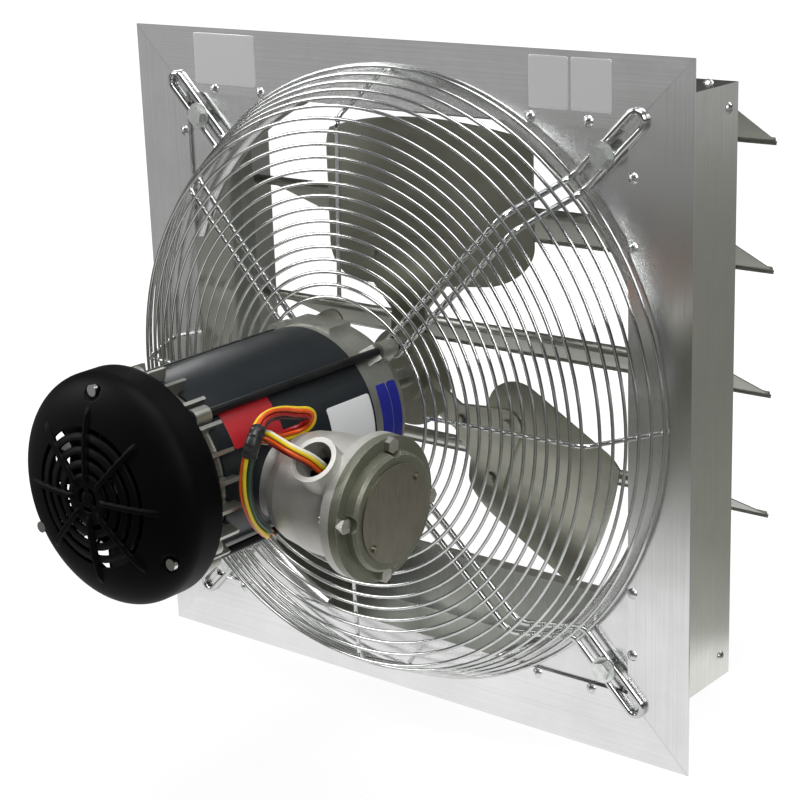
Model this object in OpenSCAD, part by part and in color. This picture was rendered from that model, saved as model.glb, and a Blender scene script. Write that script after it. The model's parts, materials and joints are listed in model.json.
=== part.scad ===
// Wall-mounted exhaust fan with louvres, a wire guard and an enclosed motor.
// Origin: the fan axis in the plane of the wall flange's back.
// -Y is indoors (motor side), +Y is outdoors (louvre side), +Z is up.

/* [Housing] */
// Side of the square wall flange
flange_w = 527; // [515:1:560]
// Width of each mitred flange strip
strip_w = 52; // [48:1:56]
// Thickness of the flange and sleeve sheet
sheet_t = 1.6; // [1.2:0.1:2]
// Distance of the sleeve's outside from the flange's edge
sleeve_inset = 32; // [29:0.5:34]
// Depth of the sleeve behind the flange
sleeve_d = 114; // [110:1:130]
// Least distance of the round orifice from the sleeve's outside
orifice_gap = 4.5; // [4:0.5:9]
// Thickness of the corner gussets
gusset_t = 1.2; // [1:0.1:2]
// Depth of the rolled lip round the orifice
orifice_lip = 9; // [6:1:12]
// Gap left at each mitred joint
mitre_gap = 0.3; // [0.1:0.1:0.8]

/* [Rivets] */
// Diameter of the rivet shanks
rivet_d = 4.8; // [4:0.1:5]
// Diameter of the rivet heads
rivet_head_d = 8.6; // [7:0.1:10]
// Height of the rivet heads
rivet_head_h = 2.4; // [1.5:0.1:3]
// Distance of the gusset rivets from the strip's inner edge
rivet_edge = 4; // [4:0.5:6]
// First gusset rivet, from the inner corner of the strips
rivet_far = 82; // [78:0.5:86]
// Second gusset rivet, from the inner corner of the strips
rivet_near = 32.5; // [31:0.5:45]
// Distance between the rivets of the shutter frame
frame_rivet_step = 214; // [150:2:216]

/* [Louvres] */
// Number of louvre blades
louvre_n = 4; // [3:1:4]
// Distance of the top hinge below the sleeve's ceiling
louvre_drop = 6.9; // [6.4:0.1:10]
// Depth of the hinges behind the flange
hinge_y = 90; // [86:0.5:94]
// How far a closed blade laps over the one below it
louvre_lap = 7; // [6:0.5:9]
// Gap between a blade's end and the jamb
louvre_gap = 3.7; // [3.2:0.1:8]
// Thickness of the blade sheet
louvre_t = 0.9; // [0.7:0.1:1.2]
// Slope of the blades below level at rest
louvre_rest = 28; // [20:1:35]
// Diameter of the hinge rods
rod_d = 5; // [4:0.1:5.4]
// Wall of the curl round the rod
curl_t = 1.4; // [1:0.1:1.8]
// Depth of the return lip on the free edge
louvre_lip = 3; // [2:0.5:6]

/* [Shutter frame] */
// Thickness of the shutter frame sheet
jamb_t = 1.2; // [0.8:0.1:1.5]
// Where the shutter frame starts behind the flange
jamb_y = 76; // [72:0.5:78]
// Width of the stop flanges of the jambs and the top rail
stop_w = 13; // [8:0.5:14]
// Height of the sill above the sleeve floor
sill_h = 52.9; // [48.4:0.5:53.9]
// Width of the sill's top flange
sill_flange = 13; // [8:0.5:14]
// Radial clearance between a hinge rod and its bush
bush_gap = 0.08; // [0.05:0.01:0.1]
// Diameter of the bush body in the jamb
bush_d = 8; // [7.5:0.1:9]
// Diameter of the bush flange
bush_flange_d = 11; // [10:0.5:11]
// Thickness of the bush flange
bush_flange_t = 1.5; // [1:0.1:1.8]

/* [Guard] */
// Diameter of the ring wires
ring_wire = 2.6; // [2.2:0.1:3]
// Diameter of the single spoke wires
spoke_wire = 3.4; // [3:0.1:4]
// Diameter of the double strut wires
strut_wire = 4.8; // [4.2:0.1:5]
// Distance between the two wires of a strut
strut_gauge = 13.5; // [13:0.1:15]
// Distance from the orifice's edge to where the struts leave the flange
skirt_gap = 14; // [10:1:18]
// How far the skirt leans inwards up to the knee
skirt_lean = 28; // [24:1:32]
// Distance of the knee in front of the flange back
knee_out = 60; // [54:1:64]
// Gap between the innermost ring and the motor's lugs
inner_ring_gap = 1.2; // [1:0.1:4]
// Number of rings on the face
face_rings = 15; // [10:1:16]
// Number of rings on the skirt
skirt_rings = 6; // [4:1:7]
// Distance of the strut bolts from the orifice's edge
strut_bolt_out = 47; // [42:1:52]
// Reach of the struts' outer ends past their bolts
hairpin_out = 42; // [36:1:46]
// Bend radius of the wires
wire_bend = 12; // [8:1:16]
// How far a ring wire sinks into a strut at its weld
weld_sink = 0.3; // [0.1:0.1:0.5]

/* [Motor] */
// Outer radius of the motor shell
shell_r = 67; // [66:0.5:67.5]
// Thickness of the motor shell
shell_t = 2.5; // [2:0.1:3]
// Length of the motor shell
shell_len = 156; // [150:1:170]
// Length of the front bell
front_bell_len = 40; // [38:1:46]
// Length of the rear bell that shows behind the shell
rear_bell_len = 23; // [21:1:28]
// Distance of the through bolts from the shell's outside
through_out = 4.5; // [4.5:0.1:5]
// Diameter of the through bolts
through_d = 6; // [5:0.1:6.4]
// Radius of the lugs round the through bolts
lug_r = 6.5; // [6:0.1:7]
// Number of fins on the rear bell
fin_n = 24; // [12:4:28]
// How far the fan cover stands out past the shell
cover_over = 14; // [13.5:0.5:17]
// Length of the fan cover
cover_len = 44; // [43:1:49]
// Wall of the fan cover
cover_t = 2; // [1.5:0.1:2.5]
// Distance from the cover's side to the grill in its end
grill_inset = 32; // [29:1:36]
// Number of slot rings in the grill
grill_rings = 4; // [3:1:5]

/* [Rotor] */
// Diameter of the shaft in the bearings
shaft_d = 17; // [16.5:0.1:17.5]
// Diameter of the shaft end in the propeller hub
shaft_end_d = 15.9; // [14:0.1:16]
// Reach of the shaft end past the flange plane
shaft_reach = 34; // [33:1:40]
// Outer diameter of the bearings
bearing_d = 40; // [38:0.5:42]
// Width of the bearings
bearing_w = 12; // [10:0.5:13]
// Radius of the rotor core
rotor_r = 38; // [34:0.5:39]
// Air gap between rotor and stator
air_gap = 0.4; // [0.3:0.05:0.6]
// Length of the stator and rotor cores
core_len = 76; // [60:1:90]
// How much smaller the cooling fan is than the shell
cool_fan_less = 2; // [1:0.5:12]

/* [Propeller] */
// Distance of the blade tips from the orifice's edge
tip_gap = 24; // [21:0.5:29]
// Number of blades
blade_n = 3; // [2:1:4]
// Width of a blade
blade_w = 164; // [140:1:166]
// Radius where the blades begin
blade_in_r = 72; // [70:1:80]
// Pitch of the blades
blade_pitch = 19; // [14:0.5:24]
// Radius of the blade's camber
camber_r = 260; // [230:5:400]
// Thickness of the blades
blade_t = 2; // [1.5:0.1:2.5]
// Middle of the propeller behind the flange
prop_y = 20; // [18:0.5:22]
// Corner radius of the blades
blade_round = 30; // [20:1:40]
// Thickness of the spider
spider_t = 3; // [2.5:0.1:3.5]
// Radius of the hub boss
hub_r = 19; // [17:0.5:22]

/* [Conduit box] */
// Distance of the box axis in front of the flange back
box_out = 206; // [204:1:210]
// How far the box axis starts below the motor axis
box_drop = 5.4; // [3:0.1:7]
// Droop of the box axis below level
box_tilt = 3; // [0:1:5]
// Radius of the box body
box_r = 42; // [40:0.5:43]
// Wall of the box body
box_t = 4; // [3:0.1:5]
// Radius of the bolted flange
box_flange_r = 50; // [50:0.5:52]
// Distance of the joint face from the shell's side
box_len = 79; // [77:1:83]
// Thickness of each bolted flange
box_flange_t = 7; // [6:0.5:8]
// Bore of the conduit hub
conduit_bore = 26; // [23:0.5:27]
// Outer diameter of the conduit hub
conduit_d = 33; // [32:0.5:36]
// Reach of the conduit hub from the box axis
conduit_reach = 57.5; // [54:0.5:60]
// Distance of the conduit hub from the shell's side
conduit_out = 59.3; // [57:0.1:60]
// Rise of the conduit hub's axis
conduit_rise = 45; // [40:1:50]

/* [Leads] */
// Diameter of the bundle of motor leads
lead_d = 9; // [8:0.5:9.5]
// Width of the tie round the leads
tie_w = 7; // [5:0.5:8]

/* [Hidden] */
$fn = 64;

// Overlap of cuts past the faces that they open
cut = 1;

// Housing
flange_half = flange_w/2;
strip_in = flange_half - strip_w;
sleeve_half = flange_half - sleeve_inset;
sleeve_in = sleeve_half - sheet_t;
orifice_r = sleeve_half - orifice_gap;
rivet_at = [strip_in - rivet_far, strip_in - rivet_near];
rivet_line = strip_in + rivet_edge;
// How far the sleeve tabs stop short of the strip's inner edge
tab_set = 1;
// Depth of the seat pressed into the strip's back for the sleeve and its tabs
tab_seat = 0.2;
seat_gap = 0.3;
gusset_y = sheet_t - tab_seat;
gusset_back = gusset_y + gusset_t;
gusset_margin = 0.4;

// A turn of the whole shape about the fan axis, to one of the four sides or corners
module at_side(turn) { rotate([0, turn, 0]) children(); }

// A bar or bore along +Y from y = from to y = to
module y_bar(d, from, to, x = 0, z = 0) {
    translate([x, from, z]) rotate([-90, 0, 0]) cylinder(d = d, h = to - from);
}

// A revolved shape: the profile's points are [radius, y]
module y_turned(points) {
    rotate([-90, 0, 0]) mirror([0, 0, 1]) rotate_extrude() polygon([for (p = points) [p[0], -p[1]]]);
}

// A hexagon along +Y
module y_hex(across, from, to, x = 0, z = 0) {
    translate([x, from, z]) rotate([-90, 30, 0]) cylinder(d = across/cos(30), h = to - from, $fn = 6);
}

// A plate in the XZ plane, drawn as a 2D shape of x and z, from y = from to y = to
module y_plate(from, to) {
    translate([0, to, 0]) rotate([90, 0, 0]) linear_extrude(to - from) children();
}

// One mitred strip of the wall flange, on the +Z side
module flange_strip() {
    cut_in = mitre_gap/2;
    color([0.66, 0.67, 0.68]) difference() {
        y_plate(-sheet_t, 0) polygon([
            [-flange_half + cut_in, flange_half], [flange_half - cut_in, flange_half],
            [strip_in - cut_in, strip_in], [-strip_in + cut_in, strip_in]]);
        y_plate(-tab_seat, cut) square(2*(sleeve_half + seat_gap), center = true);
        for (s = [-1, 1], x = rivet_at)
            y_bar(rivet_d, -sheet_t - cut, cut, s*x, rivet_line);
    }
}

module flange_top() { at_side(0) flange_strip(); }
module flange_bottom() { at_side(180) flange_strip(); }
module flange_left() { at_side(-90) flange_strip(); }
module flange_right() { at_side(90) flange_strip(); }

// One wall of the sleeve, on the +Z side, with the tab that joins it to the flange strip.
// The side walls run the full height, and the top and bottom walls fit between them.
module sleeve_wall(half_len, holes) {
    tab_in = strip_in + tab_set;
    color([0.60, 0.61, 0.61]) difference() {
        union() {
            translate([-half_len, -tab_seat, sleeve_in]) cube([2*half_len, sleeve_d + tab_seat, sheet_t]);
            y_plate(-tab_seat, gusset_y) polygon([
                [-sleeve_in + mitre_gap, sleeve_in], [sleeve_in - mitre_gap, sleeve_in],
                [tab_in - mitre_gap, tab_in], [-tab_in + mitre_gap, tab_in]]);
        }
        for (s = [-1, 1], x = rivet_at)
            y_bar(rivet_d, -cut, gusset_y + cut, s*x, rivet_line);
        for (p = holes) translate([p[0], p[1], sleeve_in - cut]) cylinder(d = rivet_d, h = sheet_t + 2*cut);
    }
}

// Rivets that hold the shutter frame to the sleeve: [x, y] on each wall
frame_rivet_in = 13;
wall_rivets = [for (k = [-1, 1]) [k*frame_rivet_step, sleeve_d - frame_rivet_in]];

module sleeve_top() { at_side(0) sleeve_wall(sleeve_in, wall_rivets); }
module sleeve_bottom() { at_side(180) sleeve_wall(sleeve_in, wall_rivets); }
module sleeve_left() { at_side(-90) sleeve_wall(sleeve_half, wall_rivets); }
module sleeve_right() { at_side(90) sleeve_wall(sleeve_half, wall_rivets); }

// Half of the gusset's width along the flange, from the centre line
gusset_from = sqrt(pow(orifice_r + gusset_t, 2) - pow(strip_in, 2)) + 4;

// One corner gusset, in the +X +Z corner, with the rolled lip along its arc
module gusset() {
    out = sleeve_in - gusset_margin;
    lip_out_r = orifice_r + orifice_lip;
    color([0.70, 0.71, 0.72]) difference() {
        union() {
            y_plate(gusset_y, gusset_back) difference() {
                polygon([[gusset_from, out], [out, out], [out, gusset_from],
                    [gusset_from, gusset_from]]);
                circle(r = lip_out_r);
            }
            intersection() {
                translate([0, gusset_y, 0]) rotate([-90, 0, 0]) rotate_extrude() difference() {
                    translate([lip_out_r, orifice_lip]) circle(r = orifice_lip);
                    translate([lip_out_r, orifice_lip]) circle(r = orifice_lip - gusset_t);
                    translate([lip_out_r, -cut]) square([3*orifice_lip, 3*orifice_lip]);
                    translate([lip_out_r - 2*orifice_lip, orifice_lip])
                        square([4*orifice_lip, 2*orifice_lip]);
                }
                y_plate(gusset_y, gusset_y + orifice_lip + cut) polygon([
                    [gusset_from, out], [out, out], [out, gusset_from], [gusset_from, gusset_from]]);
            }
        }
        for (x = rivet_at) {
            y_bar(rivet_d, 0, gusset_back + cut, x, rivet_line);
            y_bar(rivet_d, 0, gusset_back + cut, rivet_line, x);
        }
        y_bar(strut_bolt_d, 0, gusset_back + orifice_lip + cut, strut_bolt_r*sin(45), strut_bolt_r*cos(45));
    }
}

module corner_gussets() { for (k = [0:3]) at_side(90*k) gusset(); }

// A dome head on the -Y face and a flat tail behind the gusset
module gusset_rivet(x, z) {
    y_bar(rivet_d, -sheet_t, gusset_back, x, z);
    translate([x, -sheet_t, z]) rotate([90, 0, 0]) rivet_head();
    y_bar(rivet_d + 1.6, gusset_back, gusset_back + 1.4, x, z);
}

// A spherical cap of the rivet head's diameter and height, standing on z = 0
module rivet_head() {
    ball_r = (pow(rivet_head_d/2, 2) + pow(rivet_head_h, 2))/(2*rivet_head_h);
    intersection() {
        translate([0, 0, rivet_head_h - ball_r]) sphere(r = ball_r);
        cylinder(d = rivet_head_d + cut, h = rivet_head_h + cut);
    }
}

module gusset_rivets() {
    color([0.75, 0.76, 0.77]) for (k = [0:3]) at_side(90*k)
        for (s = [-1, 1], x = rivet_at) gusset_rivet(s*x, rivet_line);
}

module sleeve_rivets() {
    color([0.72, 0.73, 0.74]) for (k = [0:3]) at_side(90*k) for (p = wall_rivets) {
        translate([p[0], p[1], sleeve_in - jamb_t]) cylinder(d = rivet_d, h = sheet_t + jamb_t);
        translate([p[0], p[1], sleeve_half]) rivet_head();
        translate([p[0], p[1], sleeve_in - jamb_t - 1.2]) cylinder(d = rivet_d + 1.6, h = 1.2);
    }
}

// Shutter frame
jamb_in = sleeve_in - jamb_t;
jamb_end = sleeve_d - 2;
louvre_top = sleeve_in - louvre_drop;
sill_top = -sleeve_in + sill_h;
louvre_pitch = (louvre_top - sill_top)/louvre_n;
louvre_chord = louvre_pitch + louvre_lap;
louvre_len = 2*(jamb_in - louvre_gap);
hinge_z = [for (i = [0:louvre_n - 1]) louvre_top - i*louvre_pitch];
frame_colour = [0.42, 0.43, 0.43];

// One jamb: a web flat against the sleeve wall and a stop flange turned inwards
module jamb(side) {
    color(frame_colour) difference() {
        union() {
            translate([side > 0 ? jamb_in : -sleeve_in, jamb_y, -jamb_in])
                cube([jamb_t, jamb_end - jamb_y, 2*jamb_in]);
            translate([side > 0 ? jamb_in - stop_w : -jamb_in, jamb_y, -jamb_in])
                cube([stop_w, jamb_t, 2*jamb_in]);
        }
        for (z = hinge_z) translate([side*(jamb_in + jamb_t/2), hinge_y, z])
            rotate([0, 90, 0]) cylinder(d = bush_d, h = jamb_t + 2*cut, center = true);
        for (p = wall_rivets) translate([side*(jamb_in + jamb_t/2), p[1], p[0]])
            rotate([0, 90, 0]) cylinder(d = rivet_d, h = jamb_t + 2*cut, center = true);
    }
}

module jamb_left() { jamb(-1); }
module jamb_right() { jamb(1); }

module top_rail() {
    color(frame_colour) difference() {
        union() {
            translate([-sleeve_in, jamb_y, jamb_in]) cube([2*sleeve_in, jamb_end - jamb_y, jamb_t]);
            translate([-jamb_in + stop_w, jamb_y, jamb_in - stop_w])
                cube([2*(jamb_in - stop_w), jamb_t, stop_w]);
        }
        for (p = wall_rivets) translate([p[0], p[1], jamb_in - cut])
            cylinder(d = rivet_d, h = jamb_t + 2*cut);
    }
}

// The sill: a foot on the sleeve floor, an upright web and a top flange for the lowest blade
module bottom_sill() {
    sill_y = hinge_y + 4 - sill_flange;
    color(frame_colour) difference() {
        union() {
            translate([-sleeve_in, jamb_y, -sleeve_in]) cube([2*sleeve_in, jamb_end - jamb_y, jamb_t]);
            translate([-jamb_in + stop_w, sill_y, -jamb_in])
                cube([2*(jamb_in - stop_w), jamb_t, sill_h - jamb_t]);
            translate([-jamb_in + stop_w, sill_y, sill_top - jamb_t])
                cube([2*(jamb_in - stop_w), sill_flange, jamb_t]);
        }
        for (p = wall_rivets) translate([p[0], p[1], -sleeve_in - cut])
            cylinder(d = rivet_d, h = jamb_t + 2*cut);
    }
}

// Bushes of the hinge rods, two to a blade, each with a flange inside the jamb
module louvre_bushes() {
    color([0.85, 0.85, 0.82]) for (z = hinge_z, s = [-1, 1])
        translate([s*(jamb_in - bush_flange_t), hinge_y, z]) rotate([0, s*90, 0]) difference() {
            union() {
                cylinder(d = bush_flange_d, h = bush_flange_t);
                cylinder(d = bush_d, h = bush_flange_t + jamb_t);
            }
            translate([0, 0, -cut]) cylinder(d = rod_d + 2*bush_gap, h = bush_flange_t + jamb_t + 2*cut);
        }
}

// One blade about its hinge: the sheet runs along +Y from the curl, then tips down by its slope
bead_r = 2.6;
module louvre(i) {
    curl_r = rod_d/2 + curl_t;
    bead_at = louvre_chord - 5;
    color([0.68, 0.69, 0.70]) translate([0, hinge_y, hinge_z[i]]) rotate([-louvre_rest, 0, 0])
        translate([-louvre_len/2, 0, 0]) rotate([90, 0, 90]) linear_extrude(louvre_len) difference() {
            union() {
                circle(r = curl_r);
                translate([0, curl_r - louvre_t]) square([louvre_chord, louvre_t]);
                translate([louvre_chord - louvre_t, curl_r - louvre_lip]) square([louvre_t, louvre_lip]);
                translate([bead_at, curl_r - louvre_t]) intersection() {
                    circle(r = bead_r);
                    translate([-bead_r, 0]) square([2*bead_r, bead_r]);
                }
            }
            circle(d = rod_d);
            translate([bead_at, curl_r - louvre_t]) circle(r = bead_r - louvre_t);
        }
}

// The rod in the blade's curl, with its ends in the bushes
module louvre_rod(i) {
    color([0.75, 0.75, 0.76]) translate([0, hinge_y, hinge_z[i]]) rotate([0, 90, 0])
        cylinder(d = rod_d, h = 2*(sleeve_in - 0.5), center = true);
}

module louvre_1() { louvre(0); }
module louvre_2() { louvre(1); }
module louvre_3() { louvre(2); }
module louvre_4() { louvre(3); }
module louvre_rod_1() { louvre_rod(0); }
module louvre_rod_2() { louvre_rod(1); }
module louvre_rod_3() { louvre_rod(2); }
module louvre_rod_4() { louvre_rod(3); }

// Wire guard. A strut's centre line in the plane of the fan axis, as [radius, y]
guard_colour = [0.86, 0.87, 0.88];
bend_swell = 0.12;
strut_y = -sheet_t - (strut_wire + bend_swell)/2;
knee_y = -knee_out;
face_y = knee_y - 6;
through_r = shell_r + through_out;
strut_end_r = through_r - 7.5;
skirt_r = orifice_r + skirt_gap;
knee_r = skirt_r - skirt_lean;
inner_ring_r = through_r + lug_r + inner_ring_gap + ring_wire/2;
strut_bolt_r = orifice_r + strut_bolt_out;
hairpin_r = strut_bolt_r + hairpin_out;
hub_end = [strut_end_r + strut_gauge/2, face_y];
knee = [knee_r, knee_y];
skirt_foot = [skirt_r, strut_y];
hairpin = [hairpin_r - strut_gauge/2, strut_y];

function unit(v) = v/norm(v);
// The outward side of a line from a to b
function outward(a, b) = let (d = unit(b - a)) [-d[1], d[0]];
// Centre of a ring at the share t of the way from a to b, on the outward side of the wires
ring_off = strut_wire/2 + ring_wire/2 - weld_sink;
function ring_place(a, b, t) = a + (b - a)*t + outward(a, b)*ring_off;
// The face line leans a little, so a ring's share follows its radius
face_in = [inner_ring_r, face_y];
face_places = [for (i = [0:face_rings - 1]) ring_place(knee, face_in, 1 - i/(face_rings - 1))];
skirt_places = [for (i = [1:skirt_rings]) ring_place(skirt_foot, knee, 1 - i/skirt_rings)];

// A wire ring about the fan axis
module ring(place) {
    translate([0, place[1], 0]) rotate([-90, 0, 0]) rotate_extrude()
        translate([place[0], 0]) circle(d = ring_wire);
}

module guard_face_rings() { color(guard_colour) for (p = face_places) ring(p); }
module guard_skirt_rings() { color(guard_colour) for (p = skirt_places) ring(p); }

// Draws its children, laid out in a plane of [radius, y], in the plane x = side
module in_radial_plane(side = 0) { translate([side, 0, 0]) rotate([0, -90, 0]) children(); }

function heading(v) = atan2(v[1], v[0]);
// The turn from one direction to the next, left turns positive
function turn(a, b) = let (t = heading(b) - heading(a)) t > 180 ? t - 360 : t < -180 ? t + 360 : t;
function turn_at(p, i) = i <= 0 || i >= len(p) - 1 ? 0 : turn(p[i] - p[i - 1], p[i + 1] - p[i]);
// What a bend takes off the straights on each side of it
function bend_cut(p, i) = wire_bend*tan(abs(turn_at(p, i))/2);

// A round wire along [radius, y] points. Each bend is an arc a hair thicker than the wire,
// and the straights run a little way into it
bend_seat = 0.8;
module bent_wire(p, d, seat_ends = 0) {
    last = len(p) - 1;
    for (i = [0:last - 1]) let (
        dir = unit(p[i + 1] - p[i]),
        from = p[i] + dir*(bend_cut(p, i) - (i > 0 ? bend_seat : seat_ends)),
        to = p[i + 1] - dir*(bend_cut(p, i + 1) - (i + 1 < last ? bend_seat : seat_ends)))
        translate([from[0], from[1], 0]) rotate([0, 0, heading(dir)]) rotate([0, 90, 0])
        cylinder(d = d, h = norm(to - from));
    for (i = [1:last - 1]) let (
        t = turn_at(p, i), dir = unit(p[i] - p[i - 1]), from = p[i] - dir*bend_cut(p, i),
        centre = from + sign(t)*wire_bend*[-dir[1], dir[0]])
        translate([centre[0], centre[1], 0])
        rotate([0, 0, t > 0 ? heading(dir) - 90 : heading(dir) + 90 + t])
        rotate_extrude(angle = abs(t)) translate([wire_bend, 0]) circle(d = d + bend_swell);
}

// A half ring that joins the two wires of a strut beyond a point, in the direction given
module strut_bend(at, dir) {
    in_radial_plane() translate([at[0], at[1], 0]) rotate([0, 0, heading(dir)]) rotate([90, 0, 0])
        rotate([0, 0, -90]) rotate_extrude(angle = 180)
        translate([strut_gauge/2, 0]) circle(d = strut_wire + bend_swell);
}

strut_path = [hub_end, knee, skirt_foot, hairpin];
module strut() {
    for (s = [-1, 1]) in_radial_plane(s*strut_gauge/2) bent_wire(strut_path, strut_wire, bend_seat);
    strut_bend(hub_end, hub_end - knee);
    strut_bend(hairpin, hairpin - skirt_foot);
}

module guard_struts() { color(guard_colour) for (k = [0:3]) at_side(45 + 90*k) strut(); }

// The single spokes lie against the same rings, so their centre line stands further out
spoke_off = (strut_wire - spoke_wire)/2;
spoke_in = face_in + [-3, -spoke_off];
spoke_knee = knee + [spoke_off*0.6, -spoke_off];
spoke_foot = skirt_foot + outward(skirt_foot, knee)*spoke_off;
module guard_spokes() {
    color(guard_colour) for (k = [0:3]) at_side(90*k)
        in_radial_plane() bent_wire([spoke_in, spoke_knee, spoke_foot], spoke_wire);
}

// Strut bolts
strut_bolt_d = 6.4;
strut_washer_t = 1.6;
strut_head_y = strut_y - strut_wire/2 - strut_washer_t;
strut_nut_t = 5.5;
strut_head_t = 4.5;
strut_head_w = 13;
strut_nut_w = 11;
strut_washer_d = 20;
strut_bolt_past = 6;
module strut_bolt_places() {
    for (k = [0:3]) at_side(45 + 90*k) translate([0, 0, strut_bolt_r]) children();
}

module strut_bolts() {
    color([0.55, 0.57, 0.56]) strut_bolt_places() {
        y_hex(strut_head_w, strut_head_y - strut_head_t, strut_head_y);
        y_bar(strut_bolt_d, strut_head_y - strut_head_t/4, gusset_back + strut_nut_t + strut_bolt_past);
    }
}

module strut_washers() {
    color([0.60, 0.61, 0.60]) strut_bolt_places() difference() {
        y_bar(strut_washer_d, strut_head_y, strut_head_y + strut_washer_t);
        y_bar(strut_bolt_d, strut_head_y - cut, strut_head_y + strut_washer_t + cut);
    }
}

module strut_nuts() {
    color([0.60, 0.61, 0.60]) strut_bolt_places() difference() {
        y_hex(strut_nut_w, gusset_back, gusset_back + strut_nut_t);
        y_bar(strut_bolt_d, gusset_back - cut, gusset_back + strut_nut_t + cut);
    }
}

// Motor. Its stations run from the guard's struts towards -Y
bell_face = face_y - (strut_wire + bend_swell)/2;
shell_front = bell_face - front_bell_len;
shell_back = shell_front - shell_len;
rear_bell_back = shell_back - rear_bell_len;
cover_r = shell_r + cover_over;
cover_open = rear_bell_back + 3;
cover_back = cover_open - cover_len;
shell_in = shell_r - shell_t;
spigot = 5;
bearing_r = bearing_d/2;
front_bearing_y = bell_face - 8 - bearing_w;
rear_bearing_y = rear_bell_back + 6;
cast = [0.55, 0.56, 0.54];

// The four diagonals that carry the through bolts
module through_places() {
    for (k = [0:3]) at_side(45 + 90*k) translate([0, 0, through_r]) children();
}

module motor_shell() {
    color([0.13, 0.16, 0.17]) difference() {
        y_bar(2*shell_r, shell_back, shell_front);
        y_bar(2*shell_in, shell_back - cut, shell_front + cut);
    }
}

// A lug round a through bolt, joined to the bell by a web
module lug(from, to) {
    y_bar(2*lug_r, from, to);
    translate([-lug_r, from, -lug_r - 6]) cube([2*lug_r, to - from, lug_r + 6]);
}

// A short boss round a through bolt that slopes down into the bell behind it
boss_len = 17;
module ramped_boss() {
    y_bar(2*lug_r, bell_face - boss_len, bell_face);
    rotate([0, -90, 0]) translate([0, 0, -lug_r]) linear_extrude(2*lug_r) polygon([
        [-lug_r - 6, bell_face], [0, bell_face], [0, bell_face - boss_len],
        [-lug_r - 1, shell_front + 5], [-lug_r - 6, shell_front + 5]]);
}

module front_bell() {
    wall = 5;
    boss_r = bearing_r + 6;
    boss_back = front_bearing_y - 3;
    color(cast) difference() {
        union() {
            y_turned([
                [0, bell_face], [shell_r - 6, bell_face], [shell_r, bell_face - 10],
                [shell_r, shell_front], [shell_in, shell_front], [shell_in, shell_front - spigot],
                [shell_in - wall, shell_front - spigot], [shell_in - wall, bell_face - wall - 8],
                [shell_in - wall - 8, bell_face - wall], [boss_r, bell_face - wall],
                [boss_r, boss_back], [0, boss_back]]);
            through_places() ramped_boss();
            // Low flat pad on top of the bell
            translate([-21, shell_front + 5, shell_r - 10]) cube([42, front_bell_len - 16, 11]);
        }
        y_bar(2*bearing_r, boss_back - cut, front_bearing_y + bearing_w);
        y_bar(shaft_d + 3, boss_back - cut, bell_face + cut);
        through_places() y_bar(through_d, shell_front - cut, bell_face + cut);
    }
}

// Length of each fin that reaches forward over the shell
fin_past = 5;
module rear_bell() {
    wall = 5;
    boss_r = bearing_r + 6;
    boss_front = rear_bearing_y + bearing_w + 3;
    color(cast) difference() {
        union() {
            y_turned([
                [0, rear_bell_back], [shell_r - 8, rear_bell_back], [shell_r - 4, rear_bell_back + 4],
                [shell_r - 4, shell_back], [shell_in, shell_back], [shell_in, shell_back + spigot],
                [shell_in - wall, shell_back + spigot], [shell_in - wall, rear_bell_back + wall + 8],
                [shell_in - wall - 8, rear_bell_back + wall], [boss_r, rear_bell_back + wall],
                [boss_r, boss_front], [0, boss_front]]);
            for (k = [0:fin_n - 1]) at_side(360/fin_n*(k + 0.5))
{
                translate([-1.25, rear_bell_back + 1, shell_r - 12]) cube([2.5, rear_bell_len - 1, 21]);
                translate([-1.25, shell_back - 1, shell_r + 0.5]) cube([2.5, fin_past + 1, 8.5]);
            }
            through_places() lug(lug_back, shell_back);
            for (a = screw_turns) at_side(a) {
                y_bar(post_d, rear_bell_back, rear_bell_back + 14, 0, screw_r);
                translate([-post_d/2, rear_bell_back, screw_r - 20]) cube([post_d, 14, 20]);
            }
        }
        y_bar(2*bearing_r, rear_bearing_y, boss_front + cut);
        y_bar(shaft_d + 3, rear_bell_back - cut, boss_front + cut);
        through_places() y_bar(through_d, rear_bell_back - cut, shell_back + cut);
        for (a = screw_turns) at_side(a) translate([0, rear_bell_back - cut, screw_r])
            rotate([-90, 0, 0]) cylinder(d = screw_d, h = 9);
    }
}

// The bolts run from a head behind the rear lugs to a nut in front of the struts
through_nut_t = 5;
through_washer_t = 1.2;
through_head_t = 4;
through_head_w = 10;
through_nut_w = 9.5;
through_washer_d = 12;
lug_back = rear_bell_back + 9;
through_nut_y = face_y + strut_wire/2 + through_washer_t;
module through_bolts() {
    color([0.10, 0.10, 0.11]) through_places() {
        y_bar(through_d, lug_back - through_head_t/4, through_nut_y + through_nut_t + 3);
        y_hex(through_head_w, lug_back - through_head_t, lug_back);
    }
}

module through_nuts() {
    color([0.70, 0.71, 0.71]) through_places() {
        difference() {
            union() {
                y_bar(through_washer_d, through_nut_y - through_washer_t, through_nut_y);
                y_hex(through_nut_w, through_nut_y, through_nut_y + through_nut_t);
            }
            y_bar(through_d, through_nut_y - through_washer_t - cut, through_nut_y + through_nut_t + cut);
        }
    }
}

// Fan cover and its three screws. Each screw sits in a pocket over a post of the cover
screw_turns = [0, 120, 240];
screw_d = 4.2;
screw_head_d = 8;
screw_r = cover_r - 9;
post_d = screw_head_d + 4;
grill_r = cover_r - grill_inset;
grill_band = (grill_r - 10)/grill_rings;
slot_share = 0.72;
rib_w = 3;
rib_up = 1;
rib_r = grill_r + 11;
shoulder = 27;
dome_power = 2.1;
pocket_y = cover_back + 14.5;

// The cover's outline, or its inside when drawn in by the wall. The dome is a rounded arc
module cover_body(t, open) {
    y_turned(concat(
        [for (i = [0:10]) [
            (cover_r - t)*pow(sin(9*i), 2/dome_power),
            cover_back + t + (shoulder - t)*(1 - pow(cos(9*i), 2/dome_power))]],
        [[cover_r - t, open], [0, open]]));
}

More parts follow.
